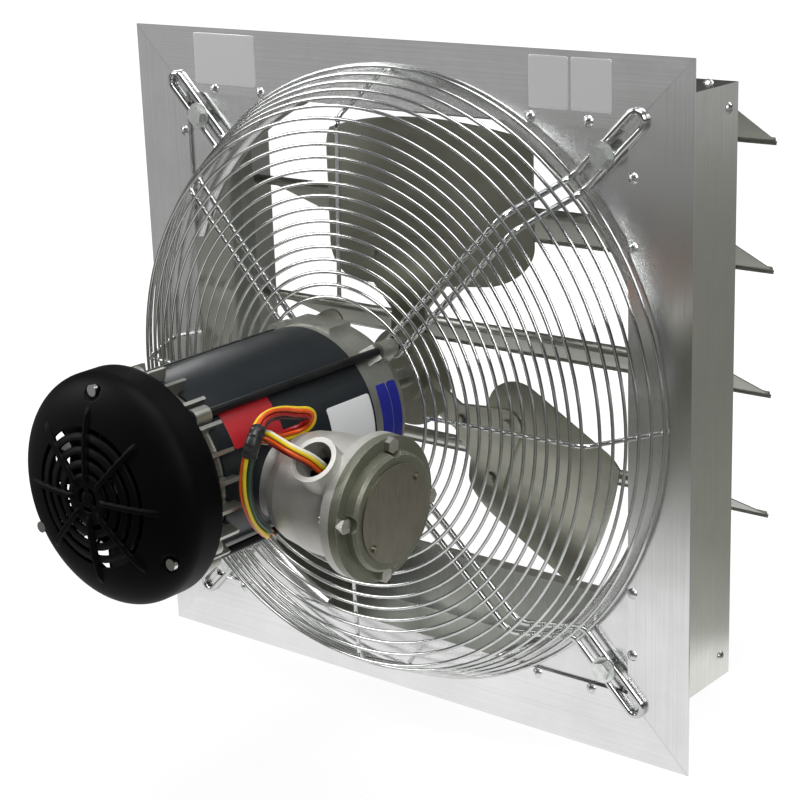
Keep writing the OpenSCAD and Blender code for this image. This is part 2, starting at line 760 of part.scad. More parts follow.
module fan_cover() {
    color([0.06, 0.06, 0.065]) difference() {
        union() {
            difference() {
                cover_body(0, cover_open);
                cover_body(cover_t, cover_open + cut);
            }
            // Posts that reach the rear bell round the screws
            intersection() {
                for (a = screw_turns) at_side(a) y_bar(post_d, cover_back, rear_bell_back, 0, screw_r);
                cover_body(cover_t/2, cover_open + cut);
            }
            // Ribs that stand up from the dome between the slots
            intersection() {
                difference() {
                    cover_body(-rib_up, cover_open);
                    cover_body(cover_t/2, cover_open + cut);
                }
                for (a = [0:60:300]) at_side(a + 30)
                    translate([-rib_w/2, cover_back - 2*rib_up, 0]) cube([rib_w, shoulder, rib_r]);
            }
        }
        difference() {
            for (i = [0:grill_rings - 1]) difference() {
                y_bar(2*(10 + (i + slot_share)*grill_band), cover_back - 2*rib_up, cover_back + 12);
                y_bar(2*(10 + i*grill_band), cover_back - 3*rib_up, cover_back + 13);
            }
            for (a = [0:60:300]) at_side(a + 30)
                translate([-rib_w/2, cover_back - 4*rib_up, 0]) cube([rib_w, shoulder, grill_r + 5]);
        }
        for (a = screw_turns) at_side(a) {
            y_bar(screw_d, cover_back - cut, rear_bell_back + cut, 0, screw_r);
            y_bar(screw_head_d + 2, cover_back - cut, pocket_y, 0, screw_r);
        }
    }
}

module fan_cover_screws() {
    color([0.75, 0.75, 0.75]) for (a = screw_turns) at_side(a) {
        y_bar(screw_head_d, pocket_y - 3, pocket_y, 0, screw_r);
        y_bar(screw_d, pocket_y - 1, rear_bell_back + 7, 0, screw_r);
    }
}

// Electrical parts inside the shell
core_mid = (shell_front + shell_back)/2;
core_front = core_mid + core_len/2;
core_back = core_mid - core_len/2;
bore_r = rotor_r + air_gap;

module stator_core() {
    color([0.35, 0.35, 0.37]) difference() {
        y_bar(2*shell_in, core_back, core_front);
        y_bar(2*bore_r, core_back - cut, core_front + cut);
    }
}

module stator_windings() {
    coil_len = 22;
    color([0.72, 0.40, 0.20]) for (y = [core_back - coil_len, core_front]) difference() {
        y_bar(2*(shell_in - 4), y, y + coil_len);
        y_bar(2*(bore_r + 5), y - cut, y + coil_len + cut);
    }
}

race_in_r = shaft_d/2 + 3.7;
race_out_r = bearing_r - 3.7;
ball_gap = 0.1;
ball_d = race_out_r - race_in_r - ball_gap;
bearing_ys = [front_bearing_y, rear_bearing_y];

module bearing_outer_races() {
    color([0.70, 0.70, 0.72]) for (y = bearing_ys) difference() {
        y_bar(bearing_d, y, y + bearing_w);
        y_bar(2*race_out_r, y - cut, y + bearing_w + cut);
    }
}

module bearing_inner_races() {
    color([0.70, 0.70, 0.72]) for (y = bearing_ys) difference() {
        y_bar(2*race_in_r, y, y + bearing_w);
        y_bar(shaft_d, y - cut, y + bearing_w + cut);
    }
}

module bearing_balls() {
    color([0.80, 0.80, 0.82]) for (y = bearing_ys, a = [0:45:315]) at_side(a)
        translate([0, y + bearing_w/2, race_out_r - ball_d/2]) sphere(d = ball_d);
}

module motor_shaft() {
    shoulder_y = front_bearing_y + bearing_w + 3;
    color([0.65, 0.65, 0.67]) {
        y_bar(shaft_d, cool_fan_y - 13, shoulder_y);
        y_bar(shaft_end_d, shoulder_y - cut, shaft_reach);
    }
}

module rotor_core() {
    color([0.45, 0.45, 0.47]) difference() {
        union() {
            y_bar(2*rotor_r, core_back, core_front);
            y_bar(2*(rotor_r - 5), core_back - 8, core_front + 8);
        }
        y_bar(shaft_d, core_back - 9, core_front + 9);
    }
}

// Start switch: a plate on the rear bell and a governor on the shaft in front of it
switch_y = rear_bearing_y + bearing_w + 3;
module switch_plate() {
    color([0.45, 0.30, 0.15]) difference() {
        y_bar(2*(bearing_r + 5), switch_y, switch_y + 2.5);
        y_bar(shaft_d + 5, switch_y - cut, switch_y + 2.5 + cut);
    }
}

module switch_governor() {
    governor_y = switch_y + 4.5;
    color([0.55, 0.50, 0.30]) difference() {
        union() {
            y_bar(40, governor_y, governor_y + 2);
            y_bar(26, governor_y, governor_y + 10);
        }
        y_bar(shaft_d, governor_y - cut, governor_y + 10 + cut);
    }
}

// Cooling fan: a boss on the shaft, a disc against the rear bell and straight blades
cool_fan_y = rear_bell_back - 5;
cool_fan_r = shell_r - cool_fan_less;
cool_boss_r = shaft_d/2 + 6;
cool_boss_len = 16;
cool_blade_len = 20;
cool_blade_t = 2;
cool_disc_t = 2.5;
module cooling_fan() {
    blade_from = cool_boss_r - 4;
    color([0.12, 0.12, 0.12]) difference() {
        union() {
            y_bar(2*cool_boss_r, cool_fan_y - cool_boss_len, cool_fan_y);
            y_bar(2*(cool_fan_r - 12), cool_fan_y - cool_disc_t, cool_fan_y);
            for (a = [0:45:315]) at_side(a)
                translate([-cool_blade_t/2, cool_fan_y - cool_blade_len, blade_from])
                cube([cool_blade_t, cool_blade_len, cool_fan_r - blade_from]);
        }
        y_bar(shaft_d, cool_fan_y - cool_blade_len - cut, cool_fan_y + cut);
    }
}

// Propeller. A blade points along +Z and pitches about it
blade_turns = [for (k = [0:blade_n - 1]) 360/blade_n*k];
blade_x = 8;
prop_r = orifice_r - tip_gap;

// The cambered sheet of a blade between two thicknesses from its front face
module camber_sheet(from, thick) {
    translate([blade_x, prop_y, 0]) rotate([0, 0, blade_pitch]) translate([0, camber_r, 0]) difference() {
        cylinder(r = camber_r + from + thick, h = 2*prop_r, center = true, $fn = 180);
        cylinder(r = camber_r + from, h = 2*prop_r + 2*cut, center = true, $fn = 180);
        translate([-2*camber_r, 0, -prop_r - 2*cut]) cube([4*camber_r, 2*camber_r, 2*prop_r + 4*cut]);
    }
}

// Rivets of a blade's arm: two side by side outside and one near the hub, as [x, z]
arm_rivet_d = 5;
arm_rivet_head = 10;
arm_rivet_tail = 8;
arm_rivet_side = 30;
arm_edge = 13;
arm_rivets = [[-arm_rivet_side, blade_in_r + 25], [arm_rivet_side, blade_in_r + 25], [0, blade_in_r - 15]];

// Places children on the blade's front face at a rivet, square to the sheet
module at_rivet(p) {
    x = p[0] - blade_x;
    lean = asin((x/cos(blade_pitch))/camber_r);
    y = prop_y + x*tan(blade_pitch) + camber_r*(1 - cos(lean))/cos(blade_pitch);
    translate([p[0], y, p[1]]) rotate([0, 0, blade_pitch + lean]) children();
}
module arm_holes() { for (p = arm_rivets) at_rivet(p) y_bar(arm_rivet_d, -3*spider_t, 3*spider_t); }

// The three-cornered pad where arm and blade lie on each other
module arm_pad() { hull() for (p = arm_rivets) translate(p) circle(r = arm_edge, $fn = 48); }

module blade() {
    reach = prop_y + 90;
    difference() {
        intersection() {
            camber_sheet(-blade_t, blade_t);
            y_plate(-reach, reach) {
                intersection() {
                    circle(r = prop_r, $fn = 180);
                    translate([blade_x, 0]) offset(blade_round) offset(-blade_round)
                        translate([-blade_w*cos(blade_pitch)/2, blade_in_r])
                        square([blade_w*cos(blade_pitch), prop_r - blade_in_r + 4]);
                }
                arm_pad();
            }
        }
        arm_holes();
    }
}

module propeller_blades() { color([0.52, 0.53, 0.50]) for (a = blade_turns) at_side(a) blade(); }

module spider_arm() {
    reach = prop_y + 60;
    intersection() {
        camber_sheet(0, spider_t);
        y_plate(-reach, reach) {
            arm_pad();
            hull() {
                translate(arm_rivets[2]) circle(r = arm_edge, $fn = 48);
                circle(r = hub_r - 2, $fn = 48);
            }
        }
    }
}

hub_len = 30;
hub_back = prop_y + hub_len/2 - 2;
hub_disc_r = 40;
hub_disc_y = prop_y - 8;
module propeller_spider() {
    color([0.50, 0.51, 0.48]) difference() {
        union() {
            for (a = blade_turns) at_side(a) spider_arm();
            y_bar(2*hub_disc_r, hub_disc_y, hub_disc_y + spider_t);
            y_bar(2*hub_r, hub_back - hub_len, hub_back);
        }
        y_bar(shaft_end_d, hub_back - hub_len - cut, hub_back + cut);
        for (a = blade_turns) at_side(a) arm_holes();
        translate([0, set_screw_y, 0]) cylinder(d = set_screw_d, h = hub_r + cut);
    }
}

module blade_rivets() {
    head_gap = 0.6;
    color([0.72, 0.72, 0.70]) for (a = blade_turns) at_side(a) for (p = arm_rivets) at_rivet(p) {
        y_bar(arm_rivet_d, -spider_t - 1, blade_t + 2);
        y_bar(arm_rivet_head, -spider_t - 3, -spider_t - head_gap);
        y_bar(arm_rivet_tail, blade_t + head_gap, blade_t + 2.4);
    }
}

set_screw_d = 6;
set_screw_y = hub_back - hub_len + 7;
module hub_set_screw() {
    color([0.20, 0.20, 0.21]) translate([0, set_screw_y, shaft_end_d/2 + 0.05])
        cylinder(d = set_screw_d, h = 8);
}

// Conduit box, in its own frame: +X runs out along the box axis from the motor axis
module box_frame() { translate([0, -box_out, -box_drop]) rotate([0, box_tilt, 0]) children(); }
module x_turned(points) { rotate([0, 90, 0]) rotate_extrude() polygon(points); }
module x_bar(d, from, to) { translate([from, 0, 0]) rotate([0, 90, 0]) cylinder(d = d, h = to - from); }
module conduit_axis() { translate([conduit_at, 0, 0]) rotate([90 - conduit_rise, 0, 0]) children(); }

box_floor = shell_r + 21;
box_joint = shell_r + box_len;
conduit_at = shell_r + conduit_out;
module conduit_box() {
    neck_r = 28;
    neck_bore_r = 12;
    color([0.58, 0.56, 0.52]) box_frame() difference() {
        union() {
            x_turned([[0, shell_r - 12], [neck_r, shell_r - 12], [neck_r, box_floor - 12],
                [box_r - 6, box_floor - 8], [box_r - 3, box_floor], [box_r, box_floor + 20],
                [box_r, box_joint - box_flange_t - 3],
                [box_flange_r, box_joint - box_flange_t], [box_flange_r, box_joint], [0, box_joint]]);
            conduit_axis() cylinder(d = conduit_d, h = conduit_reach);
        }
        x_turned([[0, box_floor], [box_r - box_t - 4, box_floor], [box_r - box_t, box_floor + 20],
            [box_r - box_t, box_joint + cut], [0, box_joint + cut]]);
        x_bar(2*neck_bore_r, shell_r - 13, box_floor + cut);
        conduit_axis() cylinder(d = conduit_bore, h = conduit_reach + cut);
        for (a = [0:90:270]) rotate([a + cover_bolt_turn, 0, 0])
            translate([0, 0, cover_bolt_r])
            x_bar(cover_bolt_d, box_joint - cover_bolt_in - 2, box_joint + cut);
        // Saddle cut that seats the neck on the shell
        rotate([0, -box_tilt, 0]) translate([0, 0, box_drop]) y_bar(2*shell_r, -2*neck_r, 2*neck_r);
    }
}

disc_r = 41;
disc_t = 8;
disc_edge = 2;
cover_floor = 5;
cover_out = box_joint + box_flange_t;
module conduit_cover() {
    color([0.58, 0.56, 0.52]) box_frame() difference() {
        rotate([cover_bolt_turn + 45, 0, 0]) {
            x_bar(2*box_flange_r, box_joint, cover_out);
            x_turned([[0, cover_out - 1], [disc_r, cover_out - 1], [disc_r, cover_out + disc_t - disc_edge],
                [disc_r - disc_edge, cover_out + disc_t], [0, cover_out + disc_t]]);
        }
        x_bar(2*(box_r - 2*box_t), box_joint - cut, cover_out + disc_t - cover_floor);
        for (a = [0:90:270]) rotate([a + cover_bolt_turn, 0, 0])
            translate([0, 0, cover_bolt_r]) {
                x_bar(cover_bolt_d, box_joint - cut, cover_out + cut);
                x_bar(cover_head_d + 3, cover_out, cover_out + disc_t + cut);
            }
        for (s = [-1, 1]) rotate([plate_screw_turn, 0, 0]) translate([0, 0, s*plate_screw_r])
            x_bar(plate_screw_d, cover_out + disc_t - plate_screw_in, cover_out + disc_t + cut);
    }
}

cover_bolt_d = 6;
cover_head_d = 11;
cover_bolt_r = 45;
cover_bolt_turn = -4;
cover_bolt_in = 10;
cover_head_t = 4.5;
module cover_bolts() {
    color([0.62, 0.62, 0.60]) box_frame() for (a = [0:90:270]) rotate([a + cover_bolt_turn, 0, 0])
        translate([0, 0, cover_bolt_r]) {
            x_bar(cover_bolt_d, box_joint - cover_bolt_in, cover_out + cover_head_t/2);
            translate([cover_out, 0, 0]) rotate([0, 90, 0])
                cylinder(d = cover_head_d, h = cover_head_t, $fn = 6);
        }
}

// Round plate on the cover, with two screws
plate_r = 34;
plate_t = 1.5;
plate_screw_r = 29;
plate_screw_turn = -49;
plate_screw_d = 3;
plate_screw_in = 4;
plate_head_d = 5.5;
plate_head_t = 1.6;
module cover_plate() {
    color([0.55, 0.54, 0.50]) box_frame() {
        x_bar(2*plate_r, cover_out + disc_t, cover_out + disc_t + plate_t);
        for (s = [-1, 1]) rotate([plate_screw_turn, 0, 0]) translate([0, 0, s*plate_screw_r]) {
            x_bar(plate_screw_d, cover_out + disc_t - plate_screw_in, cover_out + disc_t + plate_t);
            x_bar(plate_head_d, cover_out + disc_t + plate_t, cover_out + disc_t + plate_t + plate_head_t);
        }
    }
}

// Motor leads: one bundle that leaves the conduit hub, loops through its tie and is tucked
// behind the box. The points are the bundle's centre line, from the shell's side at the box axis
lead_points = [
    [59, -16, 9.4], [59, -29, 22.4], [58, -41, 33.4], [50.5, -48.5, 39.9], [36.5, -47.5, 43.4],
    [26, -45.5, 44.9], [16, -39, 40.4], [9, -27.5, 35.4], [4.5, -11, 30.4], [3, 0.5, 29.4],
    [6.5, 9, 31.4], [11.5, 11.5, 36.9], [16, 7, 44.4], [17, -6.5, 48.9], [17, -19.5, 52.9],
    [19, -33, 54.9], [24, -46.5, 54.9], [29.5, -57.5, 52.4], [31, -64, 46.9], [28.5, -66, 36.9],
    [24, -65, 23.4], [20, -61.5, 7.4], [16.5, -54, -8.1], [13, -45, -19.6], [9.5, -33.5, -29.6]];
lead_route = [for (p = lead_points) p + [shell_r, -box_out, -box_drop]];
tie_at = 18;
tie_t = 1.5;

// A smooth curve through the route, as points at even shares of each span
function curve(p, n) = [for (i = [0:len(p) - 2], t = [0:n - 1])
    let (a = p[max(i - 1, 0)], b = p[i], c = p[i + 1], d = p[min(i + 2, len(p) - 1)], u = t/n)
    0.5*(2*b + (c - a)*u + (2*a - 5*b + 4*c - d)*u*u + (3*b - a - 3*c + d)*u*u*u)];

// The direction of a line of points at one of them
function along(p, i) = unit(p[min(i + 1, len(p) - 1)] - p[max(i - 1, 0)]);
function square_to(v, ref) = unit(ref - v*(ref*v));

// Frames carried along the line, so the tube doesn't twist
function sides_of(p, i = 0, ref = [0, 0, 1]) = i == len(p) ? [] :
    let (s = square_to(along(p, i), ref)) concat([s], sides_of(p, i + 1, s));

module tube(p, d, n) {
    s = sides_of(p);
    rings = len(p);
    points = [for (i = [0:rings - 1], k = [0:n - 1]) let (a = 360*k/n)
        p[i] + d/2*(cos(a)*s[i] + sin(a)*cross(along(p, i), s[i]))];
    walls = [for (i = [0:rings - 2], k = [0:n - 1]) let (j = (k + 1)%n)
        [i*n + k, (i + 1)*n + k, (i + 1)*n + j, i*n + j]];
    ends = [[for (k = [0:n - 1]) k], [for (k = [n - 1:-1:0]) (rings - 1)*n + k]];
    polyhedron(points, concat(walls, ends), convexity = 6);
}

lead_line = concat(curve(lead_route, 2), [lead_route[len(lead_route) - 1]]);
module motor_leads() { color([0.80, 0.25, 0.10]) tube(lead_line, lead_d, 10); }

// A band round the bundle, square to it
module lead_tie() {
    dir = unit(lead_route[tie_at + 1] - lead_route[tie_at - 1]);
    color([0.08, 0.08, 0.08]) translate(lead_route[tie_at])
        rotate([0, acos(dir[2]), atan2(dir[1], dir[0])]) difference() {
            cylinder(d = lead_d + 2*tie_t, h = tie_w, center = true);
            cylinder(d = lead_d, h = tie_w + 2*cut, center = true);
        }
}

flange_top();
flange_bottom();
flange_left();
flange_right();
sleeve_top();
sleeve_bottom();
sleeve_left();
sleeve_right();
corner_gussets();
gusset_rivets();
sleeve_rivets();
jamb_left();
jamb_right();
top_rail();
bottom_sill();
louvre_bushes();
louvre_1();
louvre_2();
louvre_3();
louvre_4();
louvre_rod_1();
louvre_rod_2();
louvre_rod_3();
louvre_rod_4();
guard_face_rings();
guard_skirt_rings();
guard_spokes();
guard_struts();
strut_bolts();
strut_washers();
strut_nuts();
motor_shell();
front_bell();
rear_bell();
through_bolts();
through_nuts();
fan_cover();
fan_cover_screws();
stator_core();
stator_windings();
bearing_outer_races();
bearing_balls();
switch_plate();
motor_shaft();
rotor_core();
bearing_inner_races();
switch_governor();
cooling_fan();
propeller_spider();
propeller_blades();
blade_rivets();
hub_set_screw();
conduit_box();
conduit_cover();
cover_plate();
cover_bolts();
motor_leads();
lead_tie();
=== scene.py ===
# %% [markdown]
# # A wall fan with its motor out in front
# The fan is a square aluminium frame with louvres behind it and a wire guard in front. The guard
# carries an enclosed motor, and the motor turns a propeller inside the frame.
# Every rigid part comes from a packed construction model, in metres, with +Z up and the air
# going towards +Y. This script adds what that model has none of: the finish of each surface, the
# separate wires of the motor's leads and the tape round them, a smooth dome for the motor's fan
# cover, the small weld marks on the guard, and the blank stickers.

# %% Load the fixed frame
import json
import math
from functools import partial

import bpy
import numpy as np
from mathutils import Matrix, Vector


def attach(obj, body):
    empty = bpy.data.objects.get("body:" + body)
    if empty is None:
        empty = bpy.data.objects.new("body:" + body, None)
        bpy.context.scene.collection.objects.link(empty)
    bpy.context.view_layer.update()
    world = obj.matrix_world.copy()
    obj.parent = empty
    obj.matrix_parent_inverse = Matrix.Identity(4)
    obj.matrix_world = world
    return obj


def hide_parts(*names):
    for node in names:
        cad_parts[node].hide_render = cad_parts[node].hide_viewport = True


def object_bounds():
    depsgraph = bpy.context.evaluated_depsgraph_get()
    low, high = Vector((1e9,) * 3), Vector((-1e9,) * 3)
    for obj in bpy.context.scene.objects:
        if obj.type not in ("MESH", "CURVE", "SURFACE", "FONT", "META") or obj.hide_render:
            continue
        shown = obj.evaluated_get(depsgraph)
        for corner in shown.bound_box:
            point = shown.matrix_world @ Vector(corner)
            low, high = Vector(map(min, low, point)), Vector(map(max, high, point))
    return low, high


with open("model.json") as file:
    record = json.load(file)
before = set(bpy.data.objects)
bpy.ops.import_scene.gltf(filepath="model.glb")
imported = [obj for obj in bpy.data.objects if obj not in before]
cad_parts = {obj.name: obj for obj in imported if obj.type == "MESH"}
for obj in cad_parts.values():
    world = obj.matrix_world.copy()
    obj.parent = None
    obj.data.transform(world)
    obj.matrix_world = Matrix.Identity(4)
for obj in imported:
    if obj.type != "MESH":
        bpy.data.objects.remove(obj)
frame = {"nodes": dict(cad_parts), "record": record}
NODES = frame["nodes"]
CAD_BOX = [list(corner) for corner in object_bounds()]

# %% [markdown]
# ## Where the camera stands
# The square frame is a good ruler: its four straight edges fix the camera's direction, its roll
# and its lens. A camera can be placed with a constraint that tracks a target, but then the roll
# has to be fought for. Three unit vectors (right, up, back) say the whole turn at once.

# %% Camera
MM = 0.001
MICRON = 0.001 * MM
AZIMUTH, ELEVATION, ROLL = (math.radians(a) for a in (39.22, 17.06, -1.975))
CAMERA_PLACE = Vector((0.93774, -1.14825, 0.43804))
LENS_MM, SENSOR_MM = 89.11, 36

back = Vector((math.sin(AZIMUTH) * math.cos(ELEVATION),
               -math.cos(AZIMUTH) * math.cos(ELEVATION), math.sin(ELEVATION)))
level = (-back).cross(Vector((0, 0, 1))).normalized()
rise = level.cross(-back)
right = level * math.cos(ROLL) + rise * math.sin(ROLL)
up = rise * math.cos(ROLL) - level * math.sin(ROLL)
camera_turn = Matrix((right, up, back)).transposed().to_4x4()


def add_object(name, data):
    """A new object in the scene, with this camera, mesh or light as its data."""
    thing = bpy.data.objects.new(name, data)
    bpy.context.scene.collection.objects.link(thing)
    return thing


camera_data = bpy.data.cameras.new("camera")
camera_data.lens = LENS_MM
camera_data.sensor_width = SENSOR_MM
camera_data.clip_start, camera_data.clip_end = 0.01, 100
camera = add_object("camera", camera_data)
camera.matrix_world = Matrix.Translation(CAMERA_PLACE) @ camera_turn
bpy.context.scene.camera = camera
print("camera looks along", [round(v, 3) for v in -back])

# %% [markdown]
# ## Surfaces from numbers
# Each new piece here is a grid of points: one parameter runs along the rows and one along the
# columns. Numpy works out all the points at once, and the same few lines turn any grid into a
# mesh. That is quicker than adding faces one by one, and the formula stays in view.

# %% A grid of points becomes a mesh
def grid_faces(rows, columns, wrap_columns=False):
    """Corner numbers of the cells of a grid: each cell joins a point with the next one in its
    row, the next one in its column, and the one across. Wrapped columns close on themselves."""
    r = np.arange(rows - 1)[:, None]
    c = np.arange(columns if wrap_columns else columns - 1)[None, :]
    r2, c2 = r + 1, (c + 1) % columns
    corners = [r * columns + c, r * columns + c2, r2 * columns + c2, r2 * columns + c]
    return np.stack([k.ravel() for k in np.broadcast_arrays(*corners)], axis=1)


def cap_faces(ring, hub):
    """Triangles from each edge of a closed ring of points to the point hub, which each of them
    names twice, so that they stack with quads."""
    return np.column_stack([ring, np.roll(ring, -1), np.full((len(ring), 2), hub)])


def make_piece(name, points, faces, slot):
    """Points (n by 3, metres) and faces become a smooth mesh object at the origin. It rides on
    the fan's frame. The slot argument is not used. A corner given twice counts once."""
    faces = [tuple(dict.fromkeys(f)) for f in np.asarray(faces).tolist()]
    mesh = bpy.data.meshes.new(name)
    mesh.from_pydata(np.asarray(points, float).reshape(-1, 3).tolist(), [], faces)
    mesh.polygons.foreach_set("use_smooth", np.ones(len(faces), bool))
    mesh.validate()
    mesh.update()
    piece = add_object(name, mesh)
    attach(piece, "fan_frame")
    return piece


print("a 3 by 4 grid has", len(grid_faces(3, 4)), "cells")


# %% Small tools for lines and curves
def unit(v):
    return v / np.linalg.norm(v, axis=-1, keepdims=True)


def smooth_step(value, low, high):
    """0 below low, 1 above high, and an S curve between them (3 t^2 - 2 t^3)."""
    t = np.clip((value - low) / (high - low), 0, 1)
    return t * t * (3 - 2 * t)


def distance_along(line):
    """How far each point is from the line's start: the sum of the straight steps up to it."""
    return np.append(0, np.cumsum(np.linalg.norm(np.diff(line, axis=0), axis=1)))


print("half way up an S curve:", smooth_step(0.5, 0, 1))

# %% [markdown]
# ## The motor's leads
# An enclosed motor sends a bundle of insulated wires through the side hub of its wiring box. They
# leave the hub, turn back over the box in a loop that a tie holds, and hang down between the
# motor and the box. A bundle could be one thick tube with a striped finish, but the wires
# separate where they bend, so each one is a tube of its own.
# The bundle's centre line is a smooth curve through a few points. A frame of two side directions
# is carried along it without twisting, and each wire keeps its own place in that frame while the
# whole lay turns slowly, as it does in real bundles.

# %% The bundle's centre line
LEAD_POINTS = np.array([
    [126, -222, 4], [126, -235, 17], [125, -247, 28], [117.5, -254.5, 34.5],
    [103.5, -253.5, 38], [93, -251.5, 39.5], [83, -245, 35], [76, -233.5, 30],
    [71.5, -217, 25], [70, -205.5, 24], [73.5, -197, 26], [78.5, -194.5, 31.5], [83, -199, 39],
    [84, -212.5, 43.5], [84, -225.5, 47.5], [86, -239, 49.5], [91, -252.5, 49.5],
    [96.5, -263.5, 47], [98, -270, 41.5], [95.5, -272, 31.5], [91, -271, 18], [87, -267.5, 2],
    [83.5, -260, -13.5], [80, -251, -25], [76.5, -239.5, -35]]) * MM
STEPS = 6


def smooth_line(points, steps):
    """Between two points the line is the Catmull-Rom cubic: it passes through both, and its
    direction at each is half the step from the point before to the point after."""
    p = np.vstack([points[:1], points, points[-1:]])
    a, b, c, d = (p[k:len(p) - 3 + k, None, :] for k in range(4))
    u = (np.arange(steps) / steps)[None, :, None]
    line = 0.5 * (2*b + (c - a)*u + (2*a - 5*b + 4*c - d)*u**2 + (3*b - a - 3*c + d)*u**3)
    return np.vstack([line.reshape(-1, 3), points[-1:]])


def carried_frames(line):
    """Two sides at each point, square to the line and to each other. A side is the last point's
    side made square to the new direction, so the pair never spins about the line. The first one
    is nearest to +Z."""
    along = unit(np.gradient(line, axis=0))
    side = np.empty_like(line)
    last = np.array([0.0, 0.0, 1.0])
    for i, direction in enumerate(along):
        last = last - direction * (last @ direction)
        last = last / np.linalg.norm(last)
        side[i] = last
    return side, np.cross(along, side)


bundle_line = smooth_line(LEAD_POINTS, STEPS)
bundle_side, bundle_over = carried_frames(bundle_line)
bundle_s = distance_along(bundle_line)
print("bundle length", round(float(bundle_s[-1]), 4), "m, in", len(bundle_line), "points")

# %% The bundle's side that faces the viewer
# The angle of FRONT in the carried frame is unwrapped, so it has no jump of a whole turn, and
# then levelled out over a centimetre
FRONT = unit(np.array([0.60, -0.74, 0.29]))
LEVEL_OVER = 9
front_turn = np.unwrap(np.arctan2(bundle_over @ FRONT, bundle_side @ FRONT))
window = np.hanning(LEVEL_OVER) / np.hanning(LEVEL_OVER).sum()
bundle_front = np.convolve(np.pad(front_turn, LEVEL_OVER // 2, mode="edge"), window, mode="valid")
print("the front turns by", round(math.degrees(np.ptp(bundle_front))), "degrees along the bundle")

# %% One wire of the bundle
WIRE_D = 2.8 * MM
WIRE_PITCH = 3.05 * MM
TIE_POINT = 18
TAPE_S = bundle_s[TIE_POINT * STEPS]
CROSS_HALF = 8 * MM
WAVE_DEPTH, WAVE_LENGTH = 0.10, 85 * MM
# A wire's wave starts at three times its own angle in the bundle, in radians
WAVE_SHIFT = 3 / 57.3
CORE_DEGREES = 40
# Past the first straight run the wires roll over, so another one lies outside in the loop
LOOP_ROLL = math.radians(-60)
ROLL_POINTS = 7, 12
loop_roll = LOOP_ROLL * smooth_step(bundle_s, *(bundle_s[k * STEPS] for k in ROLL_POINTS))


def place_in_bundle(degrees, roll=0.0):
    """A wire's place across the bundle, as (side, over). None is the centre. 0 degrees is the
    bundle's left or upper edge as seen from FRONT, 90 faces FRONT and 180 is the other edge."""
    if degrees is None:
        return np.zeros((len(bundle_line), 2))
    turn = bundle_front + math.pi / 2 - math.radians(degrees) - roll
    return WIRE_PITCH * np.stack([np.cos(turn), np.sin(turn)], axis=1)


def wire_line(before, after):
    """The wire keeps its place before up to the tape and its place after past it, and crosses
    over under the tape. A wave of a third of a millimetre keeps it from looking machine made."""
    crossed = smooth_step(bundle_s, TAPE_S - CROSS_HALF, TAPE_S + CROSS_HALF)[:, None]
    place = place_in_bundle(before, loop_roll) * (1 - crossed) + place_in_bundle(after) * crossed
    phase = WAVE_SHIFT * (before or CORE_DEGREES)
    wave = 1 + WAVE_DEPTH * np.sin(2 * np.pi * bundle_s / WAVE_LENGTH + phase)
    place = place * wave[:, None]
    return bundle_line + place[:, :1] * bundle_side + place[:, 1:] * bundle_over


def tube(line, radius, sides):
    """A circle of that radius round each point of the line, square to the line's direction.
    radius may be one number or one per point. The ends close on a point."""
    a, b = carried_frames(line)
    t = np.linspace(0, 2 * np.pi, sides, endpoint=False)
    radius = np.broadcast_to(np.asarray(radius, float), (len(line),))
    ring = np.cos(t)[None, :, None] * a[:, None, :] + np.sin(t)[None, :, None] * b[:, None, :]
    skin = (line[:, None, :] + ring * radius[:, None, None]).reshape(-1, 3)
    points = np.vstack([skin, line[:1], line[-1:]])
    walls = grid_faces(len(line), sides, wrap_columns=True)
    start = cap_faces(np.arange(sides), len(skin))[:, ::-1]
    end = cap_faces(np.arange(len(skin) - sides, len(skin)), len(skin) + 1)
    return points, np.vstack([walls, start, end])


print("six wires round one, each", WIRE_D, "m across")

# %% The seven wires: colour, place before the tape, place after it
WIRES = {
    "wire_white": ((0.80, 0.80, 0.76), 4, 250),
    "wire_yellow": ((0.82, 0.62, 0.02), 62, 72),
    "wire_orange": ((0.78, 0.10, 0.012), 122, 10),
    "wire_red": ((0.36, 0.010, 0.012), 184, 312),
    "wire_brown": ((0.035, 0.010, 0.014), 245, None),
    "wire_green": ((0.010, 0.065, 0.040), None, 132),
    "wire_black": ((0.012, 0.012, 0.014), 306, 192),
}
WIRE_SIDES = 12
wires, wire_facts, wire_ends = {}, {}, []
for wire_name, (_, before, after) in WIRES.items():
    line = wire_line(before, after)
    length = float(distance_along(line)[-1])
    wires[wire_name] = make_piece(wire_name, *tube(line, WIRE_D / 2, WIRE_SIDES),
                                  "lead_insulation")
    wire_ends.append((line[-1], unit(line[-1] - line[-2])))
    wire_facts[wire_name] = (line, length)
    print(wire_name, round(length / MM, 1), "mm")

# %% [markdown]
# A lead's far end is stripped for a splice: a short core of copper strands shows past the
# insulation. All seven cores are one small piece.

# %% Bare copper at the far ends
CORE_LENGTH, CORE_TUCK, CORE_SIDES = 6 * MM, 0.6 * MM, 8
COPPER_SHARE = 0.62
core_radius = WIRE_D / 2 * COPPER_SHARE * np.array([1, 1, 1, 0.96, 0.8])
core_points, core_faces, count = [], [], 0
for end, direction in wire_ends:
    places = np.linspace(-CORE_TUCK, CORE_LENGTH, len(core_radius))[:, None]
    p, f = tube(end + direction * places, core_radius, CORE_SIDES)
    core_points.append(p)
    core_faces.append(f + count)
    count += len(p)
wire_cores = make_piece("wire_cores", np.vstack(core_points), np.vstack(core_faces),
                        "copper_wire")
print("wire cores:", len(wire_cores.data.polygons), "faces")

# %% [markdown]
# ## The tape
# Black tape holds the bundle where the loop meets the tail. It is wound round and round, so its
# outside is a tube that follows the bundle and steps up a little at each lap. Each lap is a
# short slope: the radius is the bundle's, plus the tape, plus the fractional part of the distance
# along the bundle counted in laps.

